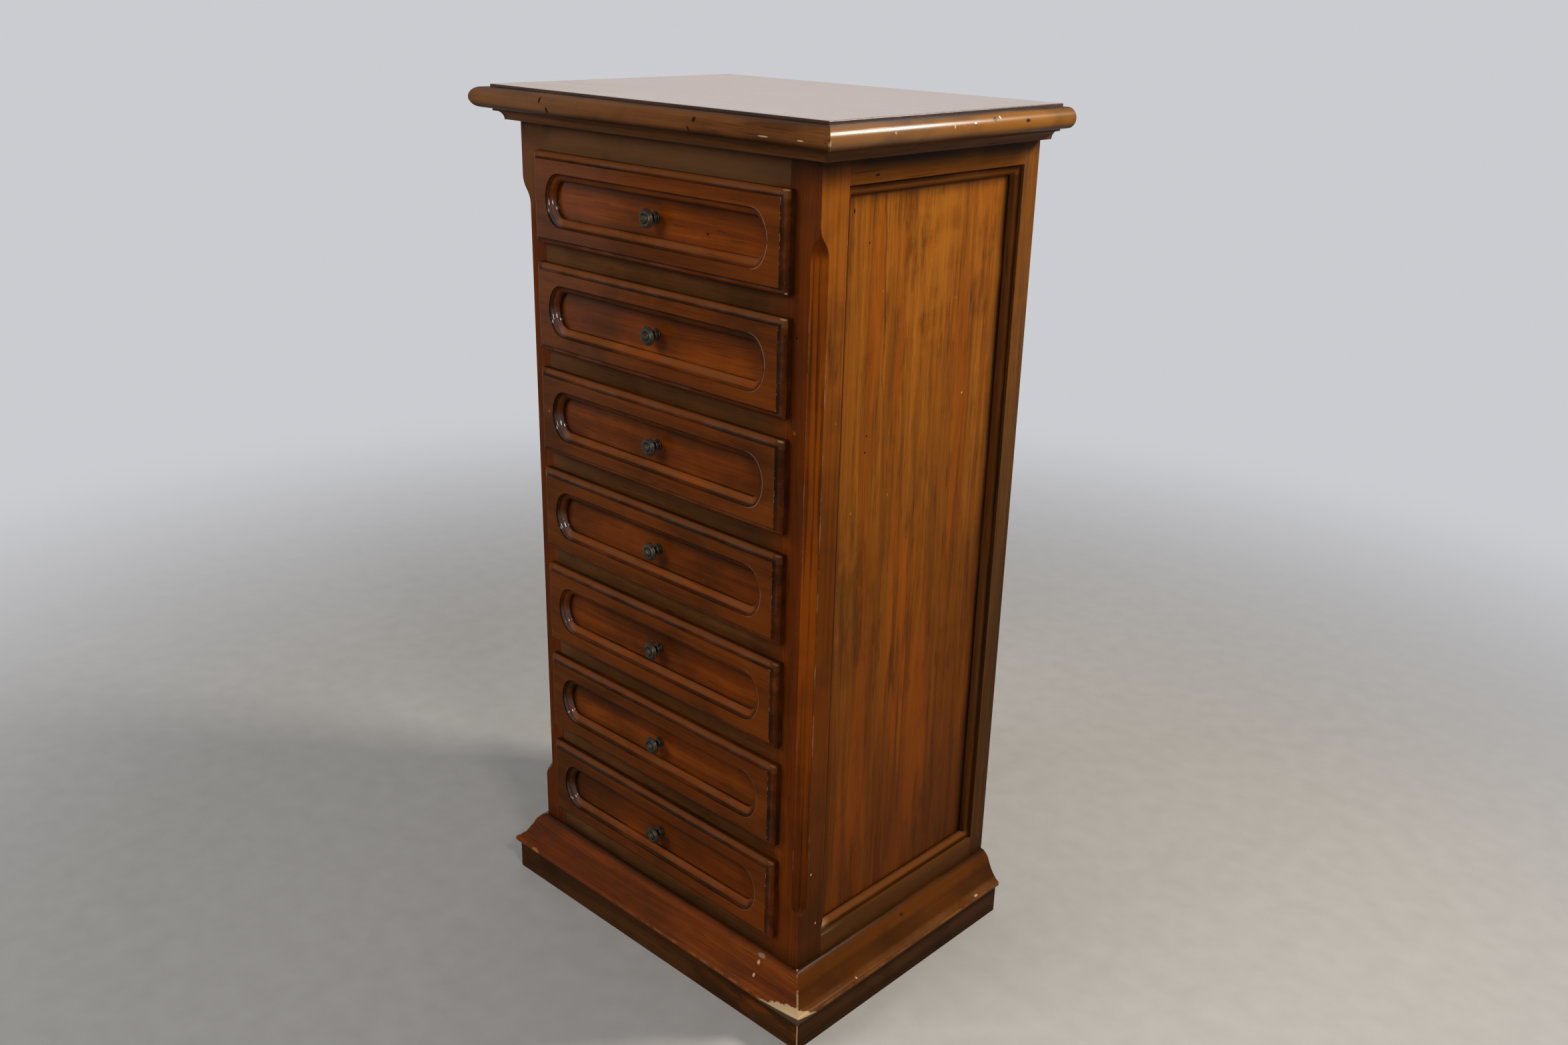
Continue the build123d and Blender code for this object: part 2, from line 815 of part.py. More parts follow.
save("top_panel", top_panel())
save("top_edging", top_edging())
save("cornice", cornice())
save("base_moulding", base_moulding())
save("plinth", plinth())
save("plinth_blocks", plinth_blocks())
save_sides("front_post", right_front_post())
save_sides("back_post", right_back_post())
save_sides("side_rails", right_side_rails())
save_sides("side_panel", right_side_panel())
save_sides("panel_moulding", right_panel_moulding())

rails = [front_rail(span) for span in front_rail_spans()]
save("front_bottom_rail", rails[0])
save("drawer_rails", rails[1:-1])
save("front_top_rail", rails[-1])

save("back_panel", back_panel())
save("back_rails", back_rails())
save("bottom_board", bottom_board())
save("drawer_runners", drawer_runners())
save("drawer_guides", drawer_guides())
save("glue_blocks", glue_blocks())

for number in range(drawer_count):
    # The first drawer is the top one.
    lip_bottom = highest_lip - lip_height - number * lip_pitch
    drawer = f"drawer_{number + 1}_"
    save(drawer + "front", drawer_front(lip_bottom))
    save(drawer + "sides", box_sides(lip_bottom))
    save(drawer + "back", box_back(lip_bottom, 0))
    save(drawer + "bottom", box_bottom(lip_bottom, 0))
    save(drawer + "knob", knob_and_screw(lip_bottom))
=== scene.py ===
import bpy
import math
from mathutils import Matrix, Vector


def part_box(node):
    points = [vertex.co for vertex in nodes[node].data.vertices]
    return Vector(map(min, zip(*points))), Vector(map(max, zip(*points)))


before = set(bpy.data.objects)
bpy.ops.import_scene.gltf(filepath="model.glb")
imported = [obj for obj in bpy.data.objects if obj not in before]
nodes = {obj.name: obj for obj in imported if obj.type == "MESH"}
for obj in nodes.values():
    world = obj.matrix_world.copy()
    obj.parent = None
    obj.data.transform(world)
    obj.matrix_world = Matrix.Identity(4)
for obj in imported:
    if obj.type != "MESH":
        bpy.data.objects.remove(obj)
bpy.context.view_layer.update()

MM = 0.001
DRAWERS = range(1, 8)


def box(node):
    """Lowest and highest corner of a CAD node, in millimetres."""
    return [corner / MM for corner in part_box(node)]


# Places in the CAD frame, in millimetres
post_low, post_high = box("front_post_right")
BODY_HALF = post_high.x
BODY_FRONT = post_low.y
POST_INNER = box("front_top_rail")[1].x
top_low, top_high = box("top_panel")
TOP_HALF = top_high.x
TOP_FRONT = top_low.y
TOP_LEVEL = top_high.z
edging_low, edging_high = box("top_edging")
NOSE_HALF = edging_high.x
NOSE_FRONT = edging_low.y
EDGING_BOTTOM = edging_low.z
EDGING_TOP = edging_high.z
cornice_low, cornice_high = box("cornice")
CORNICE_BOTTOM = cornice_low.z
CORNICE_SLOPE = (cornice_high.x - BODY_HALF) / (BODY_FRONT - cornice_low.y)
strip_low, strip_high = box("panel_moulding_right")
PANEL_PLANE = strip_low.x
STRIP_CREST = strip_high.x
SIDE_FRONT = strip_low.y
SIDE_BACK = strip_high.y
SIDE_BOTTOM = strip_low.z
SIDE_TOP = strip_high.z
SIDE_MIDDLE = 0.5 * (SIDE_BOTTOM + SIDE_TOP)
base_low, base_high = box("base_moulding")
BASE_BOTTOM = base_low.z
BASE_TOP = base_high.z
plinth_low, plinth_high = box("plinth")
PLINTH_HALF = plinth_high.x
PLINTH_FRONT = plinth_low.y

# Stains, linear
RED = (0.150, 0.029, 0.0022)
RED_LIGHT = (0.235, 0.052, 0.0040)
RED_DARK = (0.070, 0.016, 0.0024)
BROWN = (0.085, 0.030, 0.0070)
BROWN_LIGHT = (0.130, 0.047, 0.0110)
BROWN_DARK = (0.046, 0.017, 0.0045)
GOLD = (0.270, 0.080, 0.0070)
GOLD_LIGHT = (0.370, 0.125, 0.0120)
GOLD_DARK = (0.150, 0.044, 0.0055)
RED_GOLD = (0.330, 0.070, 0.0020)
OLIVE = (0.150, 0.062, 0.0160)
OLIVE_DARK = (0.090, 0.036, 0.0100)
# Dark glazing colour, also used for painted shade and shadow
GLAZE_AND_SHADE = (0.022, 0.0095, 0.0035)
ORANGE = (0.380, 0.140, 0.0350)
TAN = (0.600, 0.400, 0.2100)
CHALK = (0.800, 0.720, 0.6000)
BARE = (0.420, 0.270, 0.140)
BARE_DARK = (0.300, 0.180, 0.088)
BARE_LIGHT = (0.520, 0.350, 0.195)

# Stains of single pieces, linear
TOP_BROWN = (0.145, 0.042, 0.0065)
# Painted light on rounds that face up
LIT_ROUND_BROWN = (0.200, 0.068, 0.0210)
# Painted highlight on the sunk field's right rim
RIM_HIGHLIGHT = (0.36, 0.26, 0.19)
TOP_RAIL_BROWN = (0.185, 0.085, 0.036)
LEFT_RAIL_BROWN = (0.150, 0.062, 0.0230)
POST_TOP_BROWN = (0.150, 0.065, 0.0270)
CHAMFER_RED = (0.360, 0.078, 0.0045)
# Painted highlight on the side rail's arris
RAIL_HIGHLIGHT = (0.30, 0.24, 0.18)
STRIP_RED = (0.145, 0.042, 0.0085)
STRIP_GOLD = (0.23, 0.072, 0.014)
STRIP_PALE = (0.62, 0.36, 0.17)
EDGING_BROWN = (0.155, 0.053, 0.0140)
EDGING_LIGHT = (0.220, 0.082, 0.0220)
EDGING_GOLD = (0.305, 0.118, 0.0120)
EDGING_DUSTY = (0.300, 0.150, 0.0750)
BASE_BROWN = (0.115, 0.037, 0.0045)
BASE_SMEAR = (0.22, 0.095, 0.032)
BRONZE = (0.054, 0.045, 0.030)
BRONZE_LIGHT = (0.080, 0.067, 0.046)
BRONZE_DARK = (0.036, 0.030, 0.020)

# Stains of a board: its dark, middle and light streaks
RED_WOOD = (RED_DARK, RED, RED_LIGHT)
BROWN_WOOD = (BROWN_DARK, BROWN, BROWN_LIGHT)
GOLD_WOOD = (GOLD_DARK, GOLD, GOLD_LIGHT)
OLIVE_WOOD = (OLIVE_DARK, OLIVE, GOLD)
TOP_WOOD = (RED_DARK, TOP_BROWN, TOP_BROWN)
STRIP_WOOD = (BROWN_DARK, STRIP_RED, OLIVE)
EDGING_WOOD = (BROWN_DARK, EDGING_BROWN, EDGING_LIGHT)
BARE_WOOD = (BARE_DARK, BARE, BARE_LIGHT)
BACK_WOOD = (BARE_DARK, BARE_DARK, BARE)

# The Mix node's two inputs and its output, for colours and for vectors
MIX_COLOUR = (6, 7, 2)
MIX_VECTOR = (4, 5, 1)

# How far a seed moves a noise along each axis
SEED_STEP = (1.0, 1.7, 2.3)
# Part of a spot's radius that is full strength
SPOT_CORE = 0.55
BEVEL_SAMPLES = 6


class Field:
    """A socket that takes part in arithmetic; every step adds a node to its shader's tree."""

    def __init__(self, shader, socket):
        self.shader = shader
        self.socket = socket

    def __add__(self, other):
        return self.shader.math("ADD", self, other)

    def __sub__(self, other):
        return self.shader.math("SUBTRACT", self, other)

    def __rsub__(self, other):
        return self.shader.math("SUBTRACT", other, self)

    def __mul__(self, other):
        return self.shader.math("MULTIPLY", self, other)

    __radd__ = __add__

    def __abs__(self):
        return self.shader.math("ABSOLUTE", self)

    def ramp(self, low, high):
        """Smooth step from 0 at low to 1 at high; low may be the larger."""
        return self.shader.map_range(self, low, high)

    def band(self, low, high, soft):
        """1 between low and high, fading over soft on both sides."""
        return self.ramp(low - soft, low) * self.ramp(high + soft, high)

    def below(self, other):
        """1 where this is less than the other, 0 elsewhere."""
        return self.shader.math("LESS_THAN", self, other)


def inverse(lengths):
    """One over each length."""
    return tuple(1 / length for length in lengths)


class Shader:
    """One material's tree, with places in millimetres."""

    def __init__(self, name):
        self.material = bpy.data.materials.new(name)
        self.material.use_nodes = True
        self.tree = self.material.node_tree
        self.surface = self.tree.nodes["Principled BSDF"]
        coordinates = self.add("ShaderNodeTexCoord")
        self.place = self.scale(coordinates.outputs["Object"], 1 / MM)
        self.x, self.y, self.z = self.split(self.place)

    def add(self, kind, **settings):
        """A new node with its settings."""
        node = self.tree.nodes.new(kind)
        for key, value in settings.items():
            setattr(node, key, value)
        return node

    def feed(self, target, value):
        """Links a field or a socket to an input, or sets a constant on it."""
        if isinstance(value, Field):
            value = value.socket
        if isinstance(value, bpy.types.NodeSocket):
            self.tree.links.new(value, target)
        elif isinstance(value, tuple) and len(target.default_value) == 4:
            target.default_value = (*value, 1.0)
        else:
            target.default_value = value

    def feed_all(self, node, values):
        """Feeds a node's inputs in their order."""
        for target, value in zip(node.inputs, values):
            self.feed(target, value)

    def math(self, operation, *values):
        """One step of arithmetic on numbers."""
        node = self.add("ShaderNodeMath", operation=operation)
        self.feed_all(node, values)
        return Field(self, node.outputs[0])

    def vector_math(self, operation, *values, output="Vector"):
        """One step of arithmetic on places."""
        node = self.add("ShaderNodeVectorMath", operation=operation)
        self.feed_all(node, values)
        return Field(self, node.outputs[output])

    def largest(self, first, second):
        return self.math("MAXIMUM", first, second)

    def smallest(self, first, second):
        return self.math("MINIMUM", first, second)

    def span(self, across, up):
        """Length of the slope over two square distances."""
        return self.math("SQRT", across * across + up * up)

    def map_range(self, value, low, high):
        """Smooth step of a value from 0 at low to 1 at high."""
        node = self.add("ShaderNodeMapRange", interpolation_type="SMOOTHSTEP")
        self.feed(node.inputs["Value"], value)
        node.inputs["From Min"].default_value = low
        node.inputs["From Max"].default_value = high
        return Field(self, node.outputs["Result"])

    def split(self, vector):
        """The three parts of a place or a colour."""
        node = self.add("ShaderNodeSeparateXYZ")
        self.feed(node.inputs[0], vector)
        return [Field(self, output) for output in node.outputs]

    def join(self, *values):
        """A place from its three parts."""
        node = self.add("ShaderNodeCombineXYZ")
        self.feed_all(node, values)
        return Field(self, node.outputs[0])

    def stretch(self, vector, scale, offset):
        """A place scaled and moved along each axis."""
        return self.vector_math("MULTIPLY_ADD", vector, scale, offset)

    def scale(self, vector, factor):
        """A place or a colour times a number, which may vary over the surface."""
        node = self.add("ShaderNodeVectorMath", operation="SCALE")
        self.feed(node.inputs[0], vector)
        self.feed(node.inputs["Scale"], factor)
        return Field(self, node.outputs[0])

    def noise(self, vector, lengths, detail=3.0, roughness=0.5, seed=0.0):
        """Noise from 0 to 1 whose features are about as long as lengths, in millimetres."""
        offset = tuple(step * seed for step in SEED_STEP)
        node = self.add("ShaderNodeTexNoise")
        self.feed(node.inputs["Vector"], self.stretch(vector, inverse(lengths), offset))
        node.inputs["Scale"].default_value = 1.0
        node.inputs["Detail"].default_value = detail
        node.inputs["Roughness"].default_value = roughness
        return Field(self, node.outputs[0])

    def flecks(self, cell, size, share, seed=0.0):
        """Sparse small marks: one in a share of the cells, whose sides are in millimetres."""
        node = self.add("ShaderNodeTexVoronoi")
        place = self.stretch(self.place, inverse(cell), (seed, seed, seed))
        self.feed(node.inputs["Vector"], place)
        node.inputs["Scale"].default_value = 1.0
        chance = self.split(Field(self, node.outputs["Color"]))[0]
        return Field(self, node.outputs["Distance"]).ramp(size, 0.5 * size) * chance.below(share)

    def spot(self, centre, size):
        """A soft-edged mark round a place."""
        offset = tuple(-c / s for c, s in zip(centre, size))
        away = self.stretch(self.place, inverse(size), offset)
        return self.vector_math("LENGTH", away, output="Value").ramp(1.0, SPOT_CORE)

    def mix(self, kind, sockets, factor, first, second):
        """The first where the factor is 0, the second where it is 1."""
        low, high, result = sockets
        node = self.add("ShaderNodeMix", data_type=kind)
        self.feed(node.inputs[0], factor)
        self.feed(node.inputs[low], first)
        self.feed(node.inputs[high], second)
        return Field(self, node.outputs[result])

    def blend(self, factor, first, second):
        return self.mix("RGBA", MIX_COLOUR, factor, first, second)

    def choose(self, factor, first, second):
        return self.mix("VECTOR", MIX_VECTOR, factor, first, second)

    def stops(self, value, *steps):
        """Colour ramp through (place, colour) steps."""
        node = self.add("ShaderNodeValToRGB")
        self.feed(node.inputs[0], value)
        ramp = node.color_ramp
        while len(ramp.elements) < len(steps):
            ramp.elements.new(0.5)
        for element, (place, colour) in zip(ramp.elements, steps):
            element.position = place
            element.color = (*colour, 1.0)
        return Field(self, node.outputs[0])

    def finish(self, colour, roughness, height, depth, arris=0.8, **inputs):
        """Ends the material with its relief, a bit of rounding at sharp edges and further inputs."""
        self.feed(self.surface.inputs["Base Color"], colour)
        self.feed(self.surface.inputs["Roughness"], roughness)
        bevel = self.add("ShaderNodeBevel", samples=BEVEL_SAMPLES)
        bevel.inputs["Radius"].default_value = arris * MM
        bump = self.add("ShaderNodeBump")
        bump.inputs["Strength"].default_value = 1.0
        bump.inputs["Distance"].default_value = depth * MM
        self.feed(bump.inputs["Height"], height)
        self.feed(bump.inputs["Normal"], bevel.outputs[0])
        self.feed(self.surface.inputs["Normal"], bump.outputs[0])
        self.feed(self.surface.inputs["Coat Normal"], bump.outputs[0])
        for key, value in inputs.items():
            self.feed(self.surface.inputs[key.replace("_", " ")], value)
        return self.material


LACQUER = {
    "Specular_IOR_Level": 0.02,
    "Specular_Tint": (1.0, 0.55, 0.25),
    "Coat_Weight": 0.05,
    "Coat_IOR": 1.5,
}

# Features of the grain: lengths along it and twice across it, in millimetres
WARP = (420, 60, 60)
WARP_SWING = 26.0
FIBRE = (120, 3.2, 3.2)
DASH = (60, 1.7, 1.7)
FIGURE = (26, 70, 70)
# Features that don't follow the grain, in millimetres
CLOUD = (140, 110, 90)
RIPPLE = (9, 9, 9)
RELIEF_DEPTH = 0.10
# How much of the colour is even, and how much follows the features
EVEN_TONE = 0.57
FIBRE_TONE = 0.55
FIGURE_TONE = 0.30
DASH_TONE = 0.40


class Wood(Shader):
    """Stained and lacquered wood. The board's first axis runs along the grain.

    Streaks of the given width and length, in millimetres, go through the three stains; the smaller
    the spread, the harder their edges.
    """

    def __init__(self, name, board, stains, seed, spread=0.19, width=22, length=650):
        super().__init__(name)
        self.board = board(self)
        self.seed = seed
        warp = self.noise(self.board, WARP, detail=2.0, seed=seed)
        swing = self.scale(self.join(0.0, warp, warp), WARP_SWING)
        bent = self.vector_math("ADD", self.board, swing)
        streak_size = (length, width, width)
        self.streak = self.noise(bent, streak_size, detail=5.0, roughness=0.62, seed=seed + 3)
        self.fibre = self.noise(bent, FIBRE, roughness=0.6, seed=seed + 7)
        self.dash = self.noise(bent, DASH, detail=1.0, seed=seed + 11).ramp(0.62, 0.72)
        self.figure = self.noise(self.board, FIGURE, roughness=0.6, seed=seed + 9)
        self.cloud = self.noise(self.place, CLOUD, roughness=0.55, seed=seed + 5)
        dark, middle, light = stains
        colour = self.stops(self.streak, (0.5 - spread, dark), (0.5, middle), (0.5 + spread, light))
        tone = self.fibre * FIBRE_TONE + self.figure * FIGURE_TONE + EVEN_TONE
        colour = self.scale(colour, tone)
        self.colour = self.scale(colour, 1.0 - self.dash * DASH_TONE)

    def stain(self, mask, colour, strength=1.0):
        """Turns the wood to a colour where the mask is 1, by the given strength."""
        self.colour = self.blend(mask * strength, self.colour, colour)

    def tone(self, factor):
        """Makes the wood lighter or darker."""
        self.colour = self.scale(self.colour, factor)

    def glaze_and_shade(self, mask, strength):
        """Darkening broken up by the clouds. Glaze in some places, painted shade in corners and under
        mouldings in others.
        """
        self.stain(mask * (self.cloud.ramp(0.25, 0.55) * 0.5 + 0.5), GLAZE_AND_SHADE, strength)

    def toner(self, strength):
        """Smoky toner in soft clouds over the whole piece."""
        self.stain(self.cloud.ramp(0.46, 0.66), GLAZE_AND_SHADE, strength)

    def marks(self, colour, *places):
        """Chips and nicks placed one by one, each a (centre, size)."""
        for centre, size in places:
            self.stain(self.spot(centre, size), colour)

    def broken(self, length, seed, low=0.52, high=0.62):
        """Patches along an edge where the finish has gone."""
        size = (length, length, length)
        patches = self.noise(self.place, size, detail=4.0, roughness=0.65, seed=seed)
        return patches.ramp(low, high)

    def done(self, roughness, gloss=None, **changes):
        """Ends the material; gloss is the coat's weight where it varies."""
        rough = self.cloud * 0.16 + self.fibre * 0.06 + (roughness + 0.01)
        if gloss is not None:
            changes["Coat_Weight"] = gloss
        changes.setdefault("Coat_Roughness", roughness)
        ripple = self.noise(self.place, RIPPLE, detail=2.0, seed=self.seed + 2)
        relief = self.fibre * 0.25 - self.dash * 0.5 + ripple * 0.35
        return self.finish(self.colour, rough, relief, RELIEF_DEPTH, **{**LACQUER, **changes})


def along_x(shader):
    """Grain from side to side."""
    return shader.place


def along_y(shader):
    """Grain from front to back."""
    return shader.join(shader.y, shader.x, shader.z)


def along_z(shader):
    """Grain from bottom to top."""
    return shader.join(shader.z, shader.y, shader.x)


def past_mitre(shader, corner_x, corner_y, slope=1.0):
    """Distance past a moulding's mitre, more than 0 on the side lengths."""
    return abs(shader.x) - corner_x - (corner_y - shader.y) * slope


def side_length(shader, corner_x, corner_y, slope=1.0):
    """1 on the side lengths of a moulding, 0 on its front length."""
    return 1.0 - past_mitre(shader, corner_x, corner_y, slope).below(0.0)


def mitred(corner_x, corner_y, slope=1.0):
    """Grain that follows a moulding round the corner."""

    def board(shader):
        mask = side_length(shader, corner_x, corner_y, slope)
        return shader.choose(mask, along_x(shader), along_y(shader))

    return board


def strip_grain(shader):
    """Grain along each of the four strips round a side panel."""
    level = shader.smallest(shader.z - SIDE_BOTTOM, SIDE_TOP - shader.z)
    upright = shader.smallest(shader.y - SIDE_FRONT, SIDE_BACK - shader.y)
    return shader.choose(level.below(upright), along_z(shader), along_y(shader))


def use(material, *names):
    """Gives nodes their material."""
    for name in names:
        slots = nodes[name].data.materials
        slots.clear()
        slots.append(material)


def front_rails():
    """Brown rails, redder beside the right post and paler at the left and the top."""
    wood = Wood("front_rail_wood", along_x, BROWN_WOOD, seed=2.0)
    wood.stain(wood.z.ramp(SIDE_TOP - 12, SIDE_TOP - 4), TOP_RAIL_BROWN, 0.55)
    lower = wood.z.below(SIDE_TOP)
    wood.stain(wood.x.ramp(POST_INNER - 70, POST_INNER) * lower, RED, 0.7)
    wood.stain(wood.x.ramp(-60, -POST_INNER) * lower, LEFT_RAIL_BROWN, 0.6)
    # Painted shadow under the cornice, partly dark glazing
    wood.glaze_and_shade(wood.z.ramp(CORNICE_BOTTOM - 18, CORNICE_BOTTOM), 0.5)
    wood.glaze_and_shade(wood.z.ramp(BASE_TOP + 14, BASE_TOP), 0.7)
    wood.toner(0.35)
    use(wood.done(0.26), "front_top_rail", "drawer_rails", "front_bottom_rail")


# Chamfer of the front posts: its width and the ends of its flat, in millimetres
CHAMFER = 15.0
CHAMFER_LOW = 190.0
CHAMFER_HIGH = 1040.0
CHAMFER_SIDE_EDGE = BODY_FRONT + CHAMFER
CHAMFER_FRONT_EDGE = BODY_HALF - CHAMFER
# Just under the outer face of the posts and the side rails
BODY_SKIN = BODY_HALF - 0.5


class PostWood(Wood):
    """The wood of the front posts, with masks for their side, their front and the chamfer."""

    def __init__(self):
        super().__init__("front_post_wood", along_z, RED_WOOD, seed=4.0, spread=0.24)
        self.half = abs(self.x)
        self.side = self.half.ramp(BODY_HALF - 0.6, BODY_HALF - 0.2)
        self.front = self.y.ramp(BODY_FRONT + 0.8, BODY_FRONT + 0.3)
        outer = self.half.ramp(CHAMFER_FRONT_EDGE - 1, CHAMFER_FRONT_EDGE)
        self.facet = (1.0 - self.side) * (1.0 - self.front) * outer
        self.flat = self.z.band(CHAMFER_LOW, CHAMFER_HIGH, 18)

    def tint(self):
        """A gold side, redder and darker lower down; a browner top and a bright chamfer."""
        self.stain(self.side, GOLD, 0.75)
        self.stain(self.side * self.z.ramp(950, 550), RED_GOLD, 0.6)
        lighter = self.z.ramp(640, 1080) * 0.86 - self.z.ramp(420, 160) * 0.20 - 0.50
        self.tone(self.side * lighter + 1.0)
        self.tone(1.0 - self.front * 0.1 - self.facet * self.z.ramp(430, 200) * 0.40)
        left = self.x.below(0.0)
        self.stain(self.front * self.z.ramp(1000, 1100) * (left * 0.65 + 0.10), POST_TOP_BROWN)
        self.stain(self.facet * self.flat * self.z.ramp(180, 640), CHAMFER_RED, 0.85)

    def darken(self):
        """Glaze in the grain and in a smear on the right side, painted shadow with glazing under the
        cornice, and darker over the base.
        """
        grain = self.noise(self.board, (330, 4.5, 4.5), detail=4.0, roughness=0.65, seed=35.0)
        self.glaze_and_shade(grain.ramp(0.46, 0.62) * (self.side * 0.30 + self.facet * self.flat * 0.65), 1.0)
        self.toner(0.30)
        smear = self.noise(self.place, (40, 8, 60), roughness=0.6, seed=33.0).ramp(0.40, 0.62)
        self.glaze_and_shade(self.spot((BODY_HALF, -153, 952), (12, 16, 70)) * smear, 0.5)
        # Painted shadow under the cornice, partly dark glazing
        self.glaze_and_shade(self.z.ramp(SIDE_TOP - 14, CORNICE_BOTTOM), 0.85)
        self.glaze_and_shade(self.z.ramp(BASE_TOP + 40, BASE_TOP), 0.6)

    def wear(self):
        """Rubbed edges of the chamfer and beside the panel, flecks and nicks."""
        side_arris = self.y.band(CHAMFER_SIDE_EDGE - 0.8, CHAMFER_SIDE_EDGE + 1.4, 0.4) * self.side
        front_band = self.half.band(CHAMFER_FRONT_EDGE - 1.2, CHAMFER_FRONT_EDGE + 0.8, 0.4)
        front_arris = front_band * self.facet
        worn = self.noise(self.place, (14, 14, 60), detail=4.0, roughness=0.7, seed=9.0)
        worn = worn.ramp(0.50, 0.64)
        self.stain((side_arris * 0.24 + front_arris * 0.28) * worn * self.flat, TAN)
        panel_arris = self.y.ramp(SIDE_FRONT - 2.6, SIDE_FRONT - 1.2) * self.side
        self.stain(panel_arris * self.z.band(1056, 1096, 5) * worn, TAN, 0.40)
        self.stain(self.flecks((30, 30, 55), size=0.06, share=0.14), TAN, 0.5)
        self.marks(TAN, ((BODY_SKIN, -162, 236), (2, 2, 2)), ((BODY_SKIN, -150, 154), (2, 2, 2)))
        self.marks(GLAZE_AND_SHADE, ((237.5, BODY_FRONT, 954), (2.2, 3, 2.2)))
        self.marks(RED_LIGHT, ((238, BODY_FRONT, 840), (3, 3, 3)))


def front_posts():
    wood = PostWood()
    wood.tint()
    wood.darken()
    wood.wear()
    use(wood.done(0.20), "front_post_left", "front_post_right")


def side_rails():
    """A gold rail under the cornice and an olive one over the base, with a painted highlight along the
    olive rail's top edge.
    """
    wood = Wood("side_rail_wood", along_y, GOLD_WOOD, seed=6.0)
    wood.stain(wood.z.below(SIDE_MIDDLE), OLIVE_DARK, 0.7)
    wood.tone(0.80 - wood.z.ramp(SIDE_MIDDLE, SIDE_MIDDLE + 1) * 0.20)
    # Painted shadow under the cornice, partly dark glazing
    wood.glaze_and_shade(wood.z.ramp(SIDE_TOP + 2, CORNICE_BOTTOM - 4), 1.0)
    wood.glaze_and_shade(wood.z.ramp(BASE_TOP + 26, BASE_TOP + 2), 0.45)
    # Painted highlight along the lower rail's top arris, fading towards the back
    painted_highlight = wood.z.band(SIDE_BOTTOM - 3.4, SIDE_BOTTOM - 0.6, 0.8) * wood.y.ramp(-85, -140)
    wood.stain(painted_highlight, RAIL_HIGHLIGHT, 0.35)
    wood.marks(GLAZE_AND_SHADE, ((BODY_SKIN, -90, 1133), (3, 5, 2)))
    use(wood.done(0.24), "side_rails_left", "side_rails_right")


def back_posts():
    """Olive posts, darker towards the floor."""
    wood = Wood("back_post_wood", along_z, OLIVE_WOOD, seed=8.0)
    wood.tone(wood.z.ramp(250, 1000) * 0.36 + 0.43)
    # Painted shadow under the cornice, partly dark glazing
    wood.glaze_and_shade(wood.z.ramp(SIDE_TOP + 4, CORNICE_BOTTOM), 0.8)
    wood.glaze_and_shade(wood.z.ramp(BASE_TOP + 36, BASE_TOP), 0.6)
    use(wood.done(0.26), "back_post_left", "back_post_right")


# Dark line in the right panel's grain: its place, the height it leans from, lean and wander
LINE_Y = -49.0
LINE_Z = 1091.0
LINE_LEAN = 0.04
LINE_WANDER = 12.0
# How far in the strips cover a panel, less a soft edge, in millimetres
STRIP_COVER = 11
STRIP_SOFT = 3


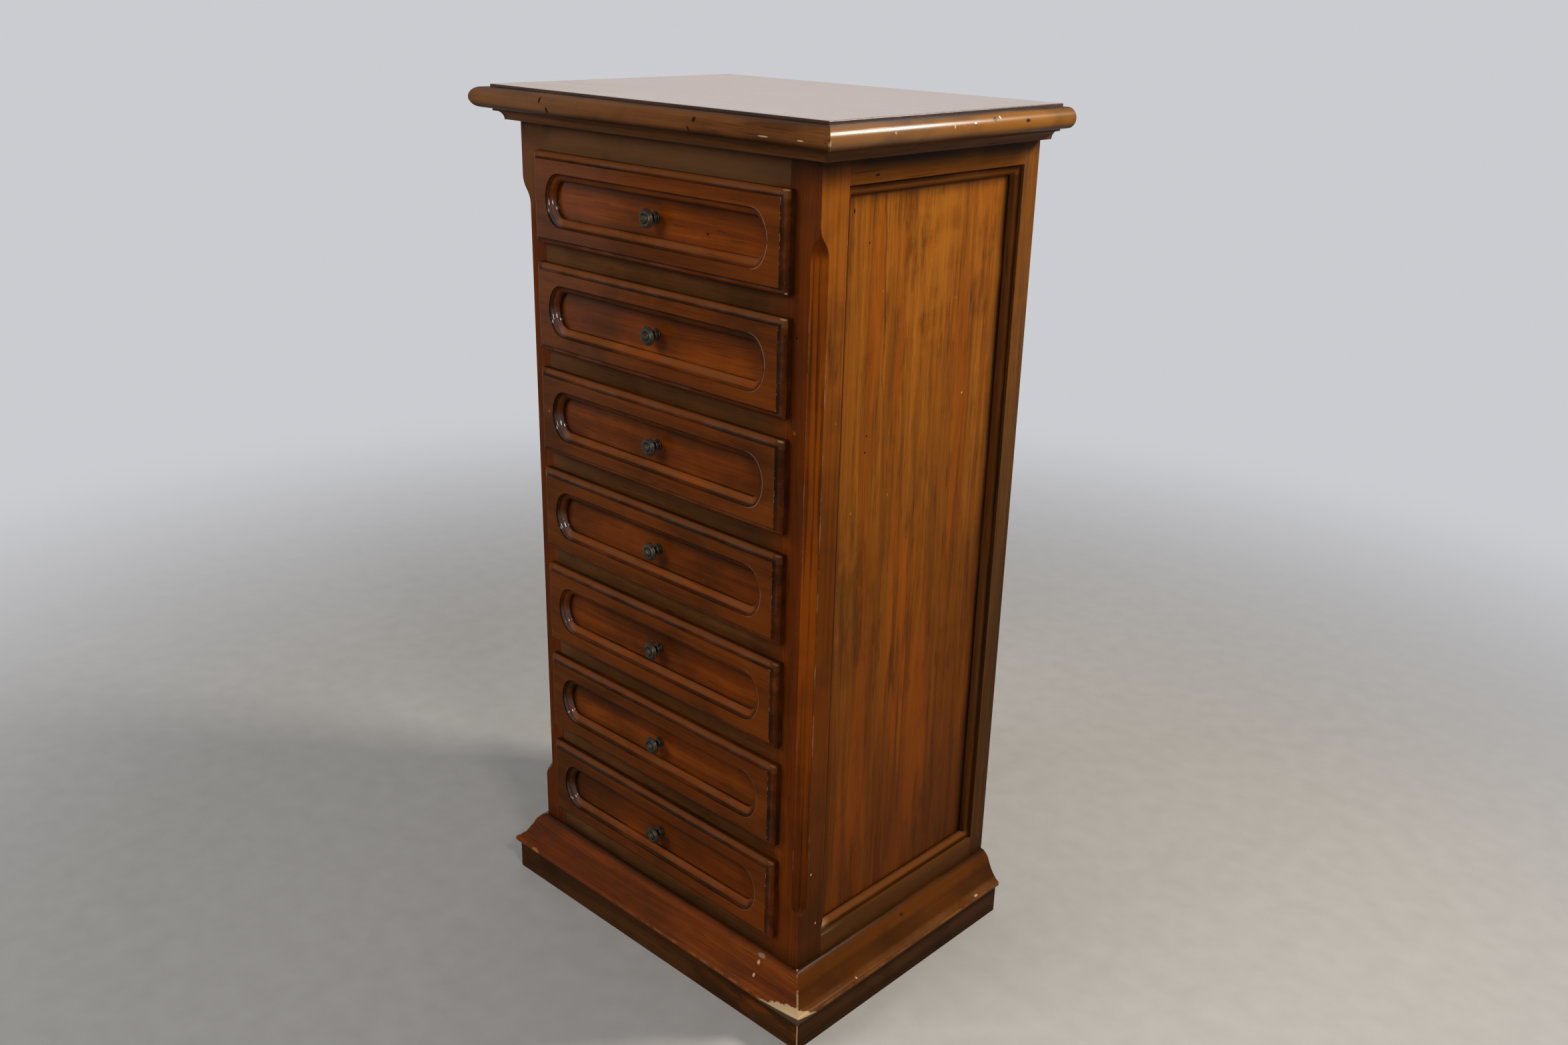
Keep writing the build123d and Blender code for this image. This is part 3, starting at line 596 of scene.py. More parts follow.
class PanelWood(Wood):
    """The wood of the side panels, with a noise for its dark smudges."""

    def __init__(self):
        streaks = {"spread": 0.24, "width": 11, "length": 380}
        super().__init__("side_panel_wood", along_z, GOLD_WOOD, seed=10.0, **streaks)
        self.smudge = self.noise(self.place, (60, 15, 75), detail=4.0, roughness=0.6, seed=15.0)

    def tint(self):
        """Gold high up, red lower down, with light patches and broad red and gold streaks."""
        # Partly painted light: lighter high up and darker low down, as the light falls off towards the
        # floor
        self.tone(self.z.ramp(150, 1150) * 0.55 + 0.53)
        self.tone(1.0 - self.y.ramp(50, 160) * self.z.ramp(1060, 930) * 0.12)
        self.stain(self.z.ramp(820, 180), RED, 0.45)
        red_streak = self.spot((PANEL_PLANE, 22, 500), (60, 34, 230)) * self.streak.ramp(0.38, 0.58)
        self.stain(red_streak, RED_GOLD, 0.6)
        for centre, size, strength in (
            ((PANEL_PLANE, 39, 1075), (60, 70, 70), 0.55),
            ((PANEL_PLANE, 28, 980), (60, 60, 80), 0.35),
        ):
            self.stain(self.spot(centre, size) * self.figure.ramp(0.35, 0.6), GOLD_LIGHT, strength)
        broad = self.noise(self.board, (480, 42, 42), detail=2.0, seed=23.0)
        self.stain(broad.ramp(0.50, 0.64), RED_GOLD, 0.38)
        self.stain(broad.ramp(0.47, 0.34) * self.z.ramp(500, 800), GOLD_LIGHT, 0.30)

    def darken(self):
        """Glazed smudges, a dark line in the grain, filled pores, and painted shade near the floor."""
        self.glaze_and_shade(self.smudge.ramp(0.50, 0.76), 0.42)
        for centre, size in (
            ((PANEL_PLANE, 2, 1030), (20, 24, 48)),
            ((PANEL_PLANE, 149, 1038), (20, 26, 44)),
            ((PANEL_PLANE, 143, 964), (20, 28, 40)),
            ((PANEL_PLANE, -17, 1091), (20, 30, 36)),
        ):
            self.glaze_and_shade(self.spot(centre, size) * self.smudge.ramp(0.36, 0.60), 0.45)
        long_smudge = self.spot((PANEL_PLANE, -100, 610), (20, 46, 150))
        self.glaze_and_shade(long_smudge * self.smudge.ramp(0.30, 0.56), 0.45)
        # Painted shade: darker near the floor
        self.tone(1.0 - self.z.ramp(360, 150) * 0.22)
        wander = self.noise(self.place, (60, 60, 60), roughness=0.6, seed=17.0)
        away = self.y - LINE_Y + (self.z - LINE_Z) * LINE_LEAN + wander * LINE_WANDER
        line = away.band(-1.0, 1.0, 1.6) * self.z.ramp(680, 980)
        self.glaze_and_shade(line * self.fibre.ramp(0.3, 0.6), 0.6)
        pores = self.noise(self.board, (130, 2.4, 2.4), detail=2.0, seed=19.0).ramp(0.60, 0.70)
        self.glaze_and_shade(pores * self.smudge.ramp(0.40, 0.60), 0.45)

    def darken_edges(self):
        """Darker beside the strips at the back, the front and the top."""
        self.glaze_and_shade((SIDE_BACK - self.y).ramp(34, STRIP_COVER), 0.95)
        self.glaze_and_shade((self.y - SIDE_FRONT).ramp(24, STRIP_COVER), 0.7)
        self.glaze_and_shade((SIDE_TOP - self.z).ramp(30, STRIP_COVER), 0.8)

    def wear(self):
        """Flecks, and the right panel's nicks and spots."""
        self.stain(self.flecks((40, 45, 70), size=0.045, share=0.12, seed=5.0), TAN, 0.6)
        self.marks(TAN, ((PANEL_PLANE, 116, 838), (2, 1.6, 1.6)))
        self.marks(
            ORANGE,
            ((PANEL_PLANE, -54, 994), (2, 1.4, 2)),
            ((PANEL_PLANE, 89, 967), (2, 1.2, 1.4)),
            ((PANEL_PLANE, -27, 731), (2, 1.4, 2.6)),
            ((PANEL_PLANE, -97, 723), (2, 1.4, 2.6)),
        )
        self.marks(
            GLAZE_AND_SHADE,
            ((PANEL_PLANE, -112, 1093), (2, 1.8, 4)),
            ((PANEL_PLANE, -83, 1054), (2, 1.6, 1.6)),
            ((PANEL_PLANE, -73, 818), (2, 1.8, 1.8)),
            ((PANEL_PLANE, -75, 797), (2, 1.8, 1.8)),
        )


def side_panels():
    wood = PanelWood()
    wood.tint()
    wood.darken()
    wood.darken_edges()
    wood.wear()
    use(wood.done(0.22), "side_panel_left", "side_panel_right")


STRIP_FINISH = {"Coat_Weight": 0.02, "Specular_IOR_Level": 0.0}


def panel_mouldings():
    """Strips round the side panels: lighter at the top and bottom, dark in their hollows."""
    wood = Wood("panel_moulding_wood", strip_grain, STRIP_WOOD, seed=12.0)
    half = abs(wood.x)
    top_edge = SIDE_TOP - STRIP_COVER
    bottom_edge = SIDE_BOTTOM + STRIP_COVER
    top = wood.z.ramp(top_edge - STRIP_SOFT, top_edge)
    bottom = wood.z.ramp(bottom_edge + STRIP_SOFT, bottom_edge)
    # Partly painted light: the bottom strip, which faces up, golder and lighter
    wood.stain(bottom, STRIP_GOLD, 0.55)
    wood.stain(bottom * wood.y.ramp(-112, -136), STRIP_PALE, 0.60)
    wood.tone(top * 0.45 + bottom * 0.35 + 0.75)
    wood.glaze_and_shade(half.ramp(PANEL_PLANE + 3.2, PANEL_PLANE + 1.0), 1.0)
    wood.glaze_and_shade(half.ramp(STRIP_CREST - 1.4, STRIP_CREST - 0.2), 0.8)
    use(wood.done(0.30, **STRIP_FINISH), "panel_moulding_left", "panel_moulding_right")


TOP_FINISH = {
    "Coat_IOR": 1.45,
    "Specular_IOR_Level": 0.3,
    "Specular_Tint": (1.0, 0.95, 0.90),
    "Sheen_Weight": 0.90,
    "Sheen_Roughness": 0.28,
    "Sheen_Tint": (1.0, 0.82, 0.70),
}


def top_panel():
    """A dark polished top with scratches, a stain and a row of dashes, duller at the front left."""
    wood = Wood("top_wood", along_x, TOP_WOOD, seed=14.0)
    inset = wood.smallest(TOP_HALF - abs(wood.x), wood.y - TOP_FRONT)
    wood.glaze_and_shade(inset.ramp(4.0, 2.0), 0.9)
    scratch = wood.noise(wood.place, (160, 3.0, 3.0), detail=2.0, seed=21.0).ramp(0.70, 0.76)
    wood.stain(scratch * wood.cloud.ramp(0.5, 0.65), GLAZE_AND_SHADE, 0.7)
    wood.stain(wood.spot((273, -180, TOP_LEVEL), (26, 24, 8)), RED, 0.6)
    wood.marks(RED_DARK, ((173, -116, TOP_LEVEL), (7, 4, 4)))
    dashes = wood.noise(wood.place, (4, 12, 4), detail=2.0, roughness=0.6, seed=25.0).ramp(0.50, 0.58)
    wood.stain(wood.spot((261, 18, TOP_LEVEL), (6, 44, 4)) * dashes, RED_DARK)
    dull = wood.x.ramp(40, -260) * wood.y.ramp(40, -190) * wood.streak.ramp(0.35, 0.60)
    gloss = inset.ramp(2.5, 6.0) * (0.92 - dull * 0.40) + 0.08
    use(wood.done(0.13, gloss, **TOP_FINISH), "top_panel")


# Just inside the round nose of the top's edging, in millimetres
SIDE_NOSE = NOSE_HALF - 2.0
FRONT_NOSE = NOSE_FRONT + 2.0


def edging_wear(wood):
    """Pits, flecks, the worn mitre, and nicks on the right side and the front."""
    pits = wood.flecks((26, 26, 12), size=0.12, share=0.25, seed=7.0)
    wood.stain(pits * wood.z.ramp(EDGING_TOP - 8, EDGING_BOTTOM + 6), GLAZE_AND_SHADE, 0.7)
    wood.stain(wood.flecks((60, 40, 40), size=0.05, share=0.10, seed=3.0), TAN, 0.7)
    mitre = past_mitre(wood, TOP_HALF, TOP_FRONT).band(-1.6, 1.6, 1.2)
    lower = wood.z.ramp(EDGING_TOP - 6, EDGING_BOTTOM + 7)
    wood.stain(mitre * lower * wood.broken(8, seed=31.0), TAN, 0.8)
    wood.marks(
        CHALK,
        ((SIDE_NOSE, 71, 1192), (6, 2, 2.2)),
        ((SIDE_NOSE, 21, 1188), (6, 3, 1.6)),
    )
    wood.marks(
        TAN,
        ((SIDE_NOSE, -18, 1186), (6, 1.8, 3)),
        ((SIDE_NOSE, -123, 1185), (6, 2, 2)),
        ((222, FRONT_NOSE, 1179), (10, 6, 1.2)),
        ((277, FRONT_NOSE, 1179), (6, 6, 1.2)),
    )
    wood.marks(
        GLAZE_AND_SHADE,
        ((SIDE_NOSE, 60, 1190), (6, 5, 3)),
        ((SIDE_NOSE, 125, 1186), (6, 6, 3)),
        ((-169, FRONT_NOSE, 1189), (3, 6, 5)),
        ((-155, FRONT_NOSE, 1178), (3, 6, 5)),
        ((113, FRONT_NOSE, 1188), (4, 6, 4)),
        ((103, FRONT_NOSE, 1177), (2, 6, 4)),
    )


def top_edging():
    """The top's round nose: gold and shiny on the sides, brown and dusty in front."""
    wood = Wood("top_edging_wood", mitred(TOP_HALF, TOP_FRONT), EDGING_WOOD, seed=16.0)
    side = side_length(wood, TOP_HALF, TOP_FRONT)
    wood.stain(side, EDGING_GOLD, 0.75)
    wood.stain((1.0 - side) * wood.x.ramp(120, -300), EDGING_DUSTY, 0.35)
    wood.toner(0.40)
    # Painted shade on the lower half of the nose, partly dark glazing
    wood.glaze_and_shade(wood.z.ramp(EDGING_BOTTOM + 9, EDGING_BOTTOM + 1), 0.8)
    wood.glaze_and_shade(wood.z.ramp(EDGING_TOP - 1.8, EDGING_TOP), 0.85)
    edging_wear(wood)
    gloss = side * (wood.y.ramp(110, -150) * 0.50 + 0.10) + 0.06
    use(wood.done(0.31, gloss), "top_edging")


def cornice():
    """Plain brown moulding under the top."""
    board = mitred(BODY_HALF, BODY_FRONT, CORNICE_SLOPE)
    wood = Wood("cornice_wood", board, BROWN_WOOD, seed=18.0)
    wood.tone(1.45)
    use(wood.done(0.30, Coat_Weight=0.12), "cornice")


# Ends of the chip at the base's front right corner, in millimetres
CHIP_X = 236.0
CHIP_Y = -185.0


def base_wear(wood, front, side):
    """The worn lower edge and mitre, flecks and listed nicks."""
    edge = wood.z.band(BASE_BOTTOM + 6.5, BASE_BOTTOM + 8.5, 0.9)
    smear = wood.z.band(BASE_BOTTOM + 8, BASE_BOTTOM + 14, 4)
    wood.stain(smear * side * wood.broken(60, 49.0, 0.30, 0.70), BASE_SMEAR, 0.40)
    wood.stain(edge * side * wood.broken(30, 41.0, 0.40, 0.62), ORANGE, 0.5)
    right = wood.x.ramp(-160, 100)
    wood.stain(edge * front * right * wood.broken(24, 43.0, 0.42, 0.60), ORANGE, 0.6)
    wood.stain(wood.flecks((55, 45, 45), size=0.055, share=0.10, seed=2.0), TAN, 0.8)
    mitre = past_mitre(wood, BODY_HALF, BODY_FRONT).band(-1.2, 1.2, 1.0)
    wood.stain(mitre * wood.broken(12, 45.0, 0.38, 0.54), TAN, 0.6)
    wood.marks(
        TAN,
        ((212, -203, 85), (3.4, 14, 4)),
        ((211, -207, 68), (2.6, 12, 3)),
        ((306, -99, 56), (6, 2, 2)),
        ((306, 174, 55), (6, 5, 1.4)),
    )
    wood.marks(ORANGE, ((-257, -219, 50), (11, 6, 5)))
    wood.marks(BROWN_DARK, ((290, 21, 88), (16, 6, 4)))
    wood.stain(wood.spot((212, -197, 93), (9, 14, 3)), CHALK, 0.2)


def base_chip(wood, front, side):
    """Bare wood where the corner's lower edge is chipped, and painted shadow at its foot where the
    wood is missing.
    """
    ragged = wood.noise(wood.place, (9, 9, 6), roughness=0.6, seed=47.0) * 8.0 - 5.0
    corner = wood.x.ramp(CHIP_X - 6, CHIP_X + 4) * wood.y.ramp(CHIP_Y + 5, CHIP_Y - 3)
    along_front = (wood.x - CHIP_X) * front
    along_side = (CHIP_Y - wood.y) * side
    chip = along_front * 0.21 + along_side * 0.38 + (BASE_BOTTOM + 8) - wood.z + ragged
    # Painted shadow standing in for the missing wood under the chip
    chip_shadow = along_front * 0.07 + along_side * 0.13 + (BASE_BOTTOM + 6) - wood.z
    wood.stain(chip.ramp(-0.6, 0.8) * corner, TAN)
    wood.stain(chip_shadow.ramp(-0.8, 0.4) * corner, GLAZE_AND_SHADE, 0.9)


def base_moulding():
    """A red front and brown sides, worn along the lower edge and chipped at a corner."""
    wood = Wood("base_moulding_wood", mitred(BODY_HALF, BODY_FRONT), RED_WOOD, seed=20.0)
    side = side_length(wood, BODY_HALF, BODY_FRONT)
    front = 1.0 - side
    wood.stain(side, BASE_BROWN, 0.7)
    wood.toner(0.35)
    wood.glaze_and_shade(wood.z.ramp(BASE_TOP - 4, BASE_TOP), 0.8)
    wood.glaze_and_shade(wood.z.band(BASE_BOTTOM + 18, BASE_BOTTOM + 32, 7) * side, 0.45)
    base_wear(wood, front, side)
    base_chip(wood, front, side)
    use(wood.done(0.20, front * 0.12 + 0.05), "base_moulding")


def plinth():
    """Dark brown boards, with red flames towards the right of the front."""
    wood = Wood("plinth_wood", mitred(PLINTH_HALF, PLINTH_FRONT), BROWN_WOOD, seed=22.0)
    side = side_length(wood, PLINTH_HALF, PLINTH_FRONT)
    flame = wood.noise(wood.place, (70, 30, 16), detail=4.0, roughness=0.6, seed=51.0)
    wood.stain(flame.ramp(0.50, 0.66) * wood.x.ramp(-40, 240) * (1.0 - side), RED_LIGHT, 0.75)
    wood.toner(0.5)
    wood.tone(0.80 - side * 0.25)
    wood.glaze_and_shade(wood.z.ramp(BASE_BOTTOM - 14, BASE_BOTTOM), 0.6)
    corner = past_mitre(wood, PLINTH_HALF, PLINTH_FRONT).band(-0.9, 0.9, 0.6)
    wood.stain(corner * wood.broken(16, 53.0, 0.35, 0.50), TAN, 0.75)
    use(wood.done(0.30, Coat_Weight=0.05), "plinth")


# Depths behind a drawer front's face, in millimetres
LIP_COVE = 3.8
LIP_OVOLO = 8.8
LIP_REAR = 15.5
WALL_COVE = 5.2
WALL_OVOLO = 12.2
FIELD_DEPTH = 13.5
# The sunk field: its opening in the face, its flat, and the arcs of its rim, in millimetres
SUNK_HALF_WIDTH = 202.0
SUNK_HALF_HEIGHT = 35.0
SUNK_MARGIN = 8
FIELD_HALF_WIDTH = 191.0
FIELD_HALF_HEIGHT = 24.0
FIELD_CORNER = 14.0
RIM_CORNER = 25.0
RIM_BULGE = 3.0
RIM_RUN = RIM_CORNER + RIM_BULGE
RIM_CORNER_X = SUNK_HALF_WIDTH - RIM_RUN
RIM_CORNER_Z = SUNK_HALF_HEIGHT - RIM_CORNER
RIM_ARC = (RIM_RUN**2 + SUNK_HALF_HEIGHT**2 - 2 * SUNK_HALF_HEIGHT * RIM_CORNER) / (2 * RIM_BULGE)
RIM_ARC_X = SUNK_HALF_WIDTH - RIM_ARC
lip_low, lip_high = box("drawer_1_front")
LIP_HALF_WIDTH = lip_high.x
LIP_HALF_HEIGHT = 0.5 * (lip_high.z - lip_low.z)
# Upper drawers, whose painted corner glint is paler
PALE_GLINT_DRAWERS = range(1, 4)


class DrawerWood(Wood):
    """The wood of a drawer front, with masks for its face, its lip and its sunk field."""

    def __init__(self, number):
        seed = 30.0 + 4.0 * number
        super().__init__(f"drawer_{number}_wood", along_x, RED_WOOD, seed, spread=0.22)
        low, high = box(f"drawer_{number}_front")
        self.number = number
        # Place of the painted glint on the lip's round at its top right corner
        self.corner = (high.x - 5, low.y + LIP_COVE + 2.4, high.z - 1.2)
        self.half = abs(self.x)
        self.height = self.z - 0.5 * (low.z + high.z)
        self.rise = abs(self.height)
        self.depth = self.y - low.y
        self.left = self.x.ramp(20, -160)
        within_width = self.half.below(SUNK_HALF_WIDTH + SUNK_MARGIN)
        self.sunk = within_width * self.rise.below(SUNK_HALF_HEIGHT + SUNK_MARGIN)
        self.face = self.depth.ramp(0.5, 0.2)
        self.field = self.sunk * self.depth.ramp(FIELD_DEPTH - 0.5, FIELD_DEPTH - 0.2)
        self.lip = 1.0 - self.sunk
        self.upright = self.half.ramp(high.x - 14, high.x - 10)
        self.ends = self.half.ramp(FIELD_HALF_WIDTH - 12, FIELD_HALF_WIDTH)
        self.upper_wall = self.height.ramp(4, 20) * (1.0 - self.ends)
        patches = self.noise(self.place, (40, 20, 40), roughness=0.6, seed=3.0 * number)
        self.patchy = patches.ramp(0.40, 0.62)

    def layer(self, part, low, high, soft=0.5):
        """Part of the front between two depths behind its face."""
        return part * self.depth.band(low, high, soft)

    def field_border(self):
        """Distance outside the sunk field's rounded outline, less than 0 inside."""
        past_x = self.half - (FIELD_HALF_WIDTH - FIELD_CORNER)
        past_z = self.rise - (FIELD_HALF_HEIGHT - FIELD_CORNER)
        corner = self.span(self.largest(past_x, 0.0), self.largest(past_z, 0.0))
        return corner + self.smallest(self.largest(past_x, past_z), 0.0) - FIELD_CORNER

    def rim_distance(self):
        """Distance outside the rim at the sunk field's ends: a flat arc between two corner arcs."""
        flat = self.span(self.half - RIM_ARC_X, self.rise) - RIM_ARC
        corner = self.span(self.half - RIM_CORNER_X, self.rise - RIM_CORNER_Z) - RIM_CORNER
        over = self.rise * (RIM_CORNER_X - RIM_ARC_X)
        on_flat = over.below((self.half - RIM_ARC_X) * RIM_CORNER_Z)
        return flat * on_flat + corner * (1.0 - on_flat)

    def tint(self):
        """Broad changes of tone: a red field, a browner face."""
        wall = self.sunk * (1.0 - self.face) * (1.0 - self.field)
        self.tone(self.field * (0.76 + self.left * 0.45) + wall * 0.6 - self.face * 0.08 + 1.0)
        # Painted shade: the fields of the lower drawers darker, as less light reaches them
        self.tone(1.0 - self.field * self.z.ramp(420, 180) * 0.22)
        self.stain(self.face, BROWN, 0.30)
        self.stain(self.x.ramp(60, -210), BROWN_LIGHT, 0.20)
        lower_right = self.x.ramp(40, 200) * self.height.ramp(30, -30)
        self.stain(self.face * lower_right, RED_LIGHT, 0.38)
        self.toner(0.42)

    def shade_recess(self):
        """Glaze in the sunk field's cove, painted shade on its upper wall, its ends and its foot,
        painted light on its lower round and a painted highlight on its right rim.
        """
        round_wall = self.layer(self.sunk, WALL_COVE, WALL_OVOLO - 1.0, 0.8)
        lower_wall = self.height.ramp(-14, -24) * (1.0 - self.ends)
        # Painted light on the lower wall's round, which faces up
        self.stain(round_wall * lower_wall * (0.7 - self.patchy * 0.45), LIT_ROUND_BROWN)
        self.glaze_and_shade(self.layer(self.sunk, 0.5, WALL_COVE - 0.4), 0.9)
        # Painted shade on the round of the upper wall and of the ends, partly dark glazing
        self.glaze_and_shade(round_wall * (self.ends * 0.6 + self.upper_wall * 0.75), 1.0)
        # Painted shadow at the foot of the wall, partly dark glazing
        self.glaze_and_shade(self.layer(self.sunk, WALL_OVOLO - 1.6, FIELD_DEPTH - 0.3, 0.6), 0.95)
        # Painted highlight on the rim at the right end, broken into patches and stronger higher up
        rim = self.rim_distance().band(0.0, 0.9, 0.3) * self.x.ramp(168, 186)
        patches = self.broken(30, 57.0 + self.number, 0.34, 0.52)
        painted_highlight = patches * (self.z.ramp(300, 950) * 0.32 + 0.16)
        self.stain(self.face * rim * painted_highlight, RIM_HIGHLIGHT)

    def shade_lip(self):
        """Glaze in the lip's cove; painted light on the round along the top, glazing and painted shade
        on its sides and behind it, and a painted glint at the right corner.
        """
        round_lip = self.layer(self.lip, LIP_COVE, LIP_OVOLO, 0.6)
        top_lip = self.height.ramp(LIP_HALF_HEIGHT - 12, LIP_HALF_HEIGHT - 9)
        # Painted light on the top of the round, which faces up
        self.stain(round_lip * top_lip, LIT_ROUND_BROWN, 0.65)
        self.glaze_and_shade(self.layer(self.lip, 0.5, LIP_COVE - 0.4), 0.95)
        # Partly painted shade: the round darker on the upright sides than on the lit top, partly
        # glazing
        round_glaze_and_shade = (1.0 - self.patchy * 0.7) * (self.upright * 0.45 + 0.30 - top_lip * 0.15)
        self.glaze_and_shade(round_lip * round_glaze_and_shade, 1.0)
        # Painted glint at the lip's top right corner
        glint_colour = TAN if self.number in PALE_GLINT_DRAWERS else ORANGE
        self.stain(self.spot(self.corner, (7, 2.4, 1.6)), glint_colour, 0.40)
        # Painted shadow on the lip's square edge behind its round, partly dark glazing
        self.glaze_and_shade(self.layer(self.lip, LIP_OVOLO, LIP_REAR, 0.4), 0.85)
        right_end = self.x.ramp(LIP_HALF_WIDTH - 16, LIP_HALF_WIDTH - 10)
        arris = self.layer(self.lip, 0.2, 0.8, 0.2) * right_end
        self.stain(arris * self.broken(9, 71.0 + self.number, 0.54, 0.62), TAN, 0.55)

    def shade_field(self):
        """The sunk field darker at its edge along its top and its left end, and over its upper part:
        glazing and painted shade from its walls.
        """
        shaded = self.largest(self.height.ramp(-8, 8), self.x.ramp(-165, -186))
        self.glaze_and_shade(self.field * self.field_border().ramp(-12.0, -1.0) * shaded, 0.6)
        self.glaze_and_shade(self.field * self.height.ramp(4, 24), 0.30)

    def wear(self):
        """Flecks, two marks on the top drawer, and bare wood behind the lip."""
        flecks = self.flecks((70, 60, 60), size=0.035, share=0.10, seed=self.number)
        self.stain(flecks, TAN, 0.6)
        if self.number == 1:
            self.marks(TAN, ((228, -192, 1005), (2.4, 3, 2)))
            self.marks(GLAZE_AND_SHADE, ((92, -185, 1053), (3, 4, 2)))
        self.stain(self.depth.ramp(LIP_REAR + 0.05, LIP_REAR + 0.15), BARE_DARK)

    def shine(self):
        """Weight of the coat: broken lines in the coves, sparkle at the lower left, a veil high up."""
        coves = self.layer(1.0 - self.sunk * self.upper_wall, 0.4, LIP_COVE, 0.4) * self.patchy
        lower_left = self.x.ramp(-168, -185) * self.height.ramp(6, -8)
        sparkle = self.layer(self.sunk, 0.4, WALL_OVOLO, 0.4) * lower_left
        veil = self.left * self.z.ramp(650, 1060) * (self.field + self.face)
        return coves * 0.25 + sparkle * 0.9 + veil * 0.22 + 0.05


def drawer_front(number):
    wood = DrawerWood(number)
    wood.tint()
    wood.shade_recess()
    wood.shade_lip()
    wood.shade_field()
    wood.wear()
    use(wood.done(0.15, wood.shine(), Coat_Roughness=0.06), f"drawer_{number}_front")


BARE_FINISH = {"roughness": 0.55, "Coat_Weight": 0.0, "Specular_IOR_Level": 0.25}


def inside_wood():
    """Bare wood, with the grain along, across or up the chest."""
    long_wood = Wood("inner_long_wood", along_y, BARE_WOOD, seed=60.0)
    sides = [f"drawer_{n}_sides" for n in DRAWERS]
    use(long_wood.done(**BARE_FINISH), "drawer_runners", "drawer_guides", *sides)
    cross_wood = Wood("inner_cross_wood", along_x, BARE_WOOD, seed=64.0)
    boards = [f"drawer_{n}_{part}" for n in DRAWERS for part in ("back", "bottom")]
    blocks = ("back_rails", "bottom_board", "glue_blocks", "plinth_blocks")
    use(cross_wood.done(**BARE_FINISH), *blocks, *boards)
    back_wood = Wood("back_panel_wood", along_z, BACK_WOOD, seed=68.0)
    use(back_wood.done(**BARE_FINISH), "back_panel")


def knobs():
    """Dark bronze with a cloudy patina."""
    shader = Shader("knob_bronze")
    cloud = shader.noise(shader.place, (4.5, 4.5, 4.5))
    colour = shader.stops(cloud, (0.35, BRONZE_DARK), (0.55, BRONZE), (0.75, BRONZE_LIGHT))
    rough = cloud * 0.25 + 0.22
    pits = shader.noise(shader.place, (0.8, 0.8, 0.8), detail=2.0)
    bronze = shader.finish(colour, rough, pits, depth=0.05, arris=0.3, Metallic=0.85)
    use(bronze, *[f"drawer_{n}_knob" for n in DRAWERS])


front_rails()
front_posts()
side_rails()
back_posts()
side_panels()
panel_mouldings()
top_panel()
top_edging()
cornice()
base_moulding()
plinth()
for number in DRAWERS:
    drawer_front(number)
inside_wood()
knobs()


def aim(thing, place, target):
    """Puts a thing at a place, facing the target."""
    thing.location = place
    thing.rotation_euler = (Vector(target) - Vector(place)).to_track_quat("-Z", "Y").to_euler()


def softbox(name, place, target, size, power, colour):
    """A flat lamp that the camera doesn't see; places and size in metres, power in watts."""
    light = bpy.data.lights.new(name, "AREA")
    light.shape = "RECTANGLE"
    light.size, light.size_y = size
    light.energy = power
    light.color = colour
    lamp = bpy.data.objects.new(name, light)
    bpy.context.scene.collection.objects.link(lamp)
    aim(lamp, place, target)
    lamp.visible_camera = False
    return lamp


# Lamp colours
WARM = (1.0, 0.94, 0.86)
MILD = (1.0, 0.96, 0.92)
COOL = (0.98, 0.99, 1.0)
WHITE = (1.0, 1.0, 1.0)


def lamps():
    """Key and side light, a fill that the lacquer doesn't mirror, and a lamp only for its glints."""
    softbox("key", (1.04, 1.087, 1.918), (0.27, 0.0, 0.90), (0.36, 0.36), 31.0, WARM)
    softbox("side", (2.10, -1.00, 2.20), (0.20, -0.10, 0.90), (0.40, 0.40), 14.0, MILD)
    fill = softbox("fill", (-1.60, -3.40, 3.00), (0.0, -0.20, 0.80), (2.2, 1.6), 75.0, COOL)
    fill.visible_glossy = False
    glint = softbox("glint", (0.30, -3.00, 0.95), (0.0, -0.20, 0.60), (0.3, 0.4), 20.0, WHITE)
    glint.visible_diffuse = False


# The room as it is seen, and the dimmer room that lights the chest
BACKDROP = (0.60, 0.605, 0.635)
DIM = (0.17, 0.173, 0.18)
SHOWN_RAYS = ("Is Camera Ray", "Is Glossy Ray", "Is Transmission Ray")
FLOOR = (0.50, 0.48, 0.45)
FLOOR_LIGHT = (0.54, 0.52, 0.49)
# Half the floor's width in metres, and where it starts and ends to fade, in millimetres
FLOOR_HALF = 30.0
FADE_START = 900
FADE_END = 2800


def shown_mask(tree):
    """A socket that is 1 on the rays that see the room as it is."""
    rays = tree.nodes.new("ShaderNodeLightPath")
    socket = rays.outputs[SHOWN_RAYS[0]]
    for name in SHOWN_RAYS[1:]:
        both = tree.nodes.new("ShaderNodeMath")
        both.operation = "MAXIMUM"
        tree.links.new(socket, both.inputs[0])
        tree.links.new(rays.outputs[name], both.inputs[1])
        socket = both.outputs[0]
    return socket


def room():
    """A pale room that is seen brighter than it lights."""
    world = bpy.data.worlds.new("room")
    world.use_nodes = True
    tree = world.node_tree
    low, high, result = MIX_COLOUR
    tint = tree.nodes.new("ShaderNodeMix")
    tint.data_type = "RGBA"
    tint.inputs[low].default_value = (*DIM, 1.0)
    tint.inputs[high].default_value = (*BACKDROP, 1.0)
    tree.links.new(shown_mask(tree), tint.inputs[0])
    tree.links.new(tint.outputs[result], tree.nodes["Background"].inputs["Color"])
    bpy.context.scene.world = world


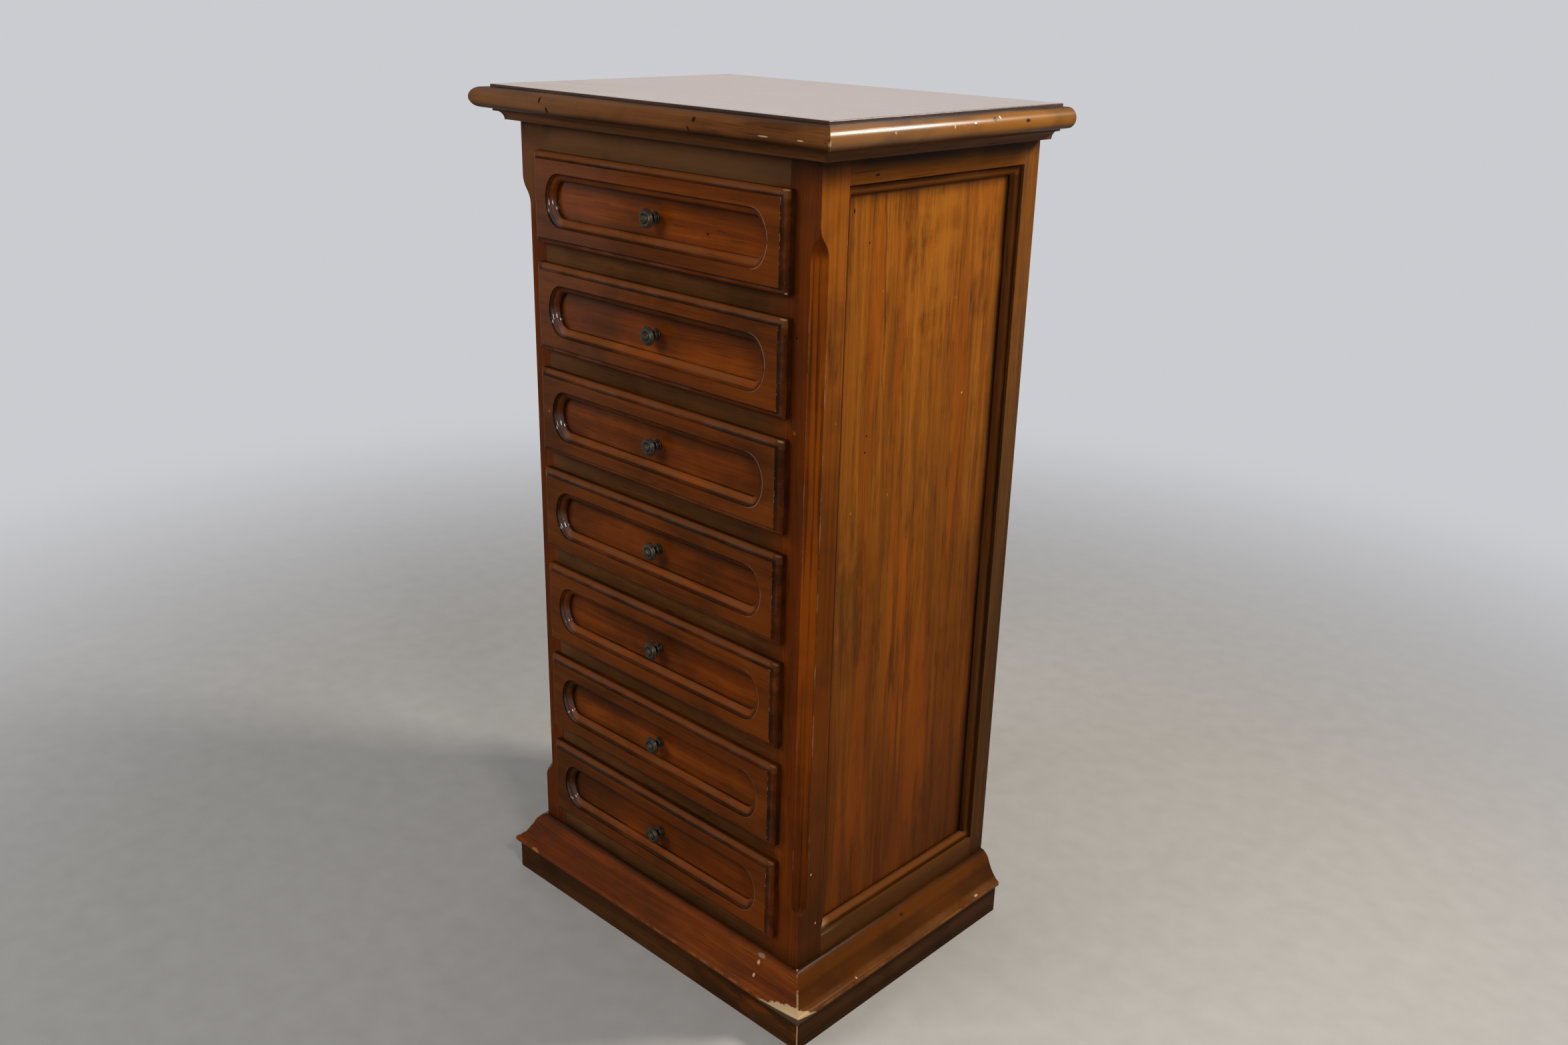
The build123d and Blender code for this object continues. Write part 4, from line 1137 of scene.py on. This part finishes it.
def floor_paint():
    """Pale paint that turns into the backdrop away from the chest."""
    paint = Shader("floor_paint")
    speckle = paint.noise(paint.place, (40, 40, 40), detail=4.0)
    pale = paint.stops(speckle, (0.3, FLOOR), (0.7, FLOOR_LIGHT))
    paint.finish(pale, 0.75, speckle, depth=0.02)
    backdrop = paint.add("ShaderNodeEmission")
    backdrop.inputs["Color"].default_value = (*BACKDROP, 1.0)
    far = paint.vector_math("LENGTH", paint.place, output="Value").ramp(FADE_START, FADE_END)
    fade = paint.add("ShaderNodeMixShader")
    paint.feed(fade.inputs[0], far * Field(paint, shown_mask(paint.tree)))
    paint.feed(fade.inputs[1], paint.surface.outputs[0])
    paint.feed(fade.inputs[2], backdrop.outputs[0])
    paint.feed(paint.tree.nodes["Material Output"].inputs["Surface"], fade.outputs[0])
    return paint.material


def pale_floor():
    """A wide flat floor under the chest."""
    near, far = -FLOOR_HALF, FLOOR_HALF
    mesh = bpy.data.meshes.new("floor")
    corners = [(near, near, 0.0), (far, near, 0.0), (far, far, 0.0), (near, far, 0.0)]
    mesh.from_pydata(corners, [], [(0, 1, 2, 3)])
    floor = bpy.data.objects.new("floor", mesh)
    bpy.context.scene.collection.objects.link(floor)
    mesh.materials.append(floor_paint())


lamps()
room()
pale_floor()

# Camera at the photograph's viewpoint, in metres; its film and lens in millimetres
AZIMUTH = math.radians(43.196)
ELEVATION = math.radians(20.775)
ROLL = math.radians(1.423)
VIEWPOINT = (1.33332, -1.36360, 1.33930)
FILM_WIDTH = 36.0
FOCAL_LENGTH = 33.015


def photo_camera():
    """A camera turned by azimuth and elevation, then rolled about its own axis."""
    back = Vector((
        math.sin(AZIMUTH) * math.cos(ELEVATION),
        -math.cos(AZIMUTH) * math.cos(ELEVATION),
        math.sin(ELEVATION),
    ))
    right = Vector((0, 0, 1)).cross(back).normalized()
    up = back.cross(right)
    tilted_right = math.cos(ROLL) * right + math.sin(ROLL) * up
    tilted_up = math.cos(ROLL) * up - math.sin(ROLL) * right
    turn = Matrix((tilted_right, tilted_up, back)).transposed().to_4x4()
    lens = bpy.data.cameras.new("camera")
    lens.sensor_fit = "HORIZONTAL"
    lens.sensor_width = FILM_WIDTH
    lens.lens = FOCAL_LENGTH
    camera = bpy.data.objects.new("camera", lens)
    bpy.context.scene.collection.objects.link(camera)
    camera.matrix_world = Matrix.Translation(VIEWPOINT) @ turn
    bpy.context.scene.camera = camera


photo_camera()
bpy.context.scene.view_settings.view_transform = "Standard"
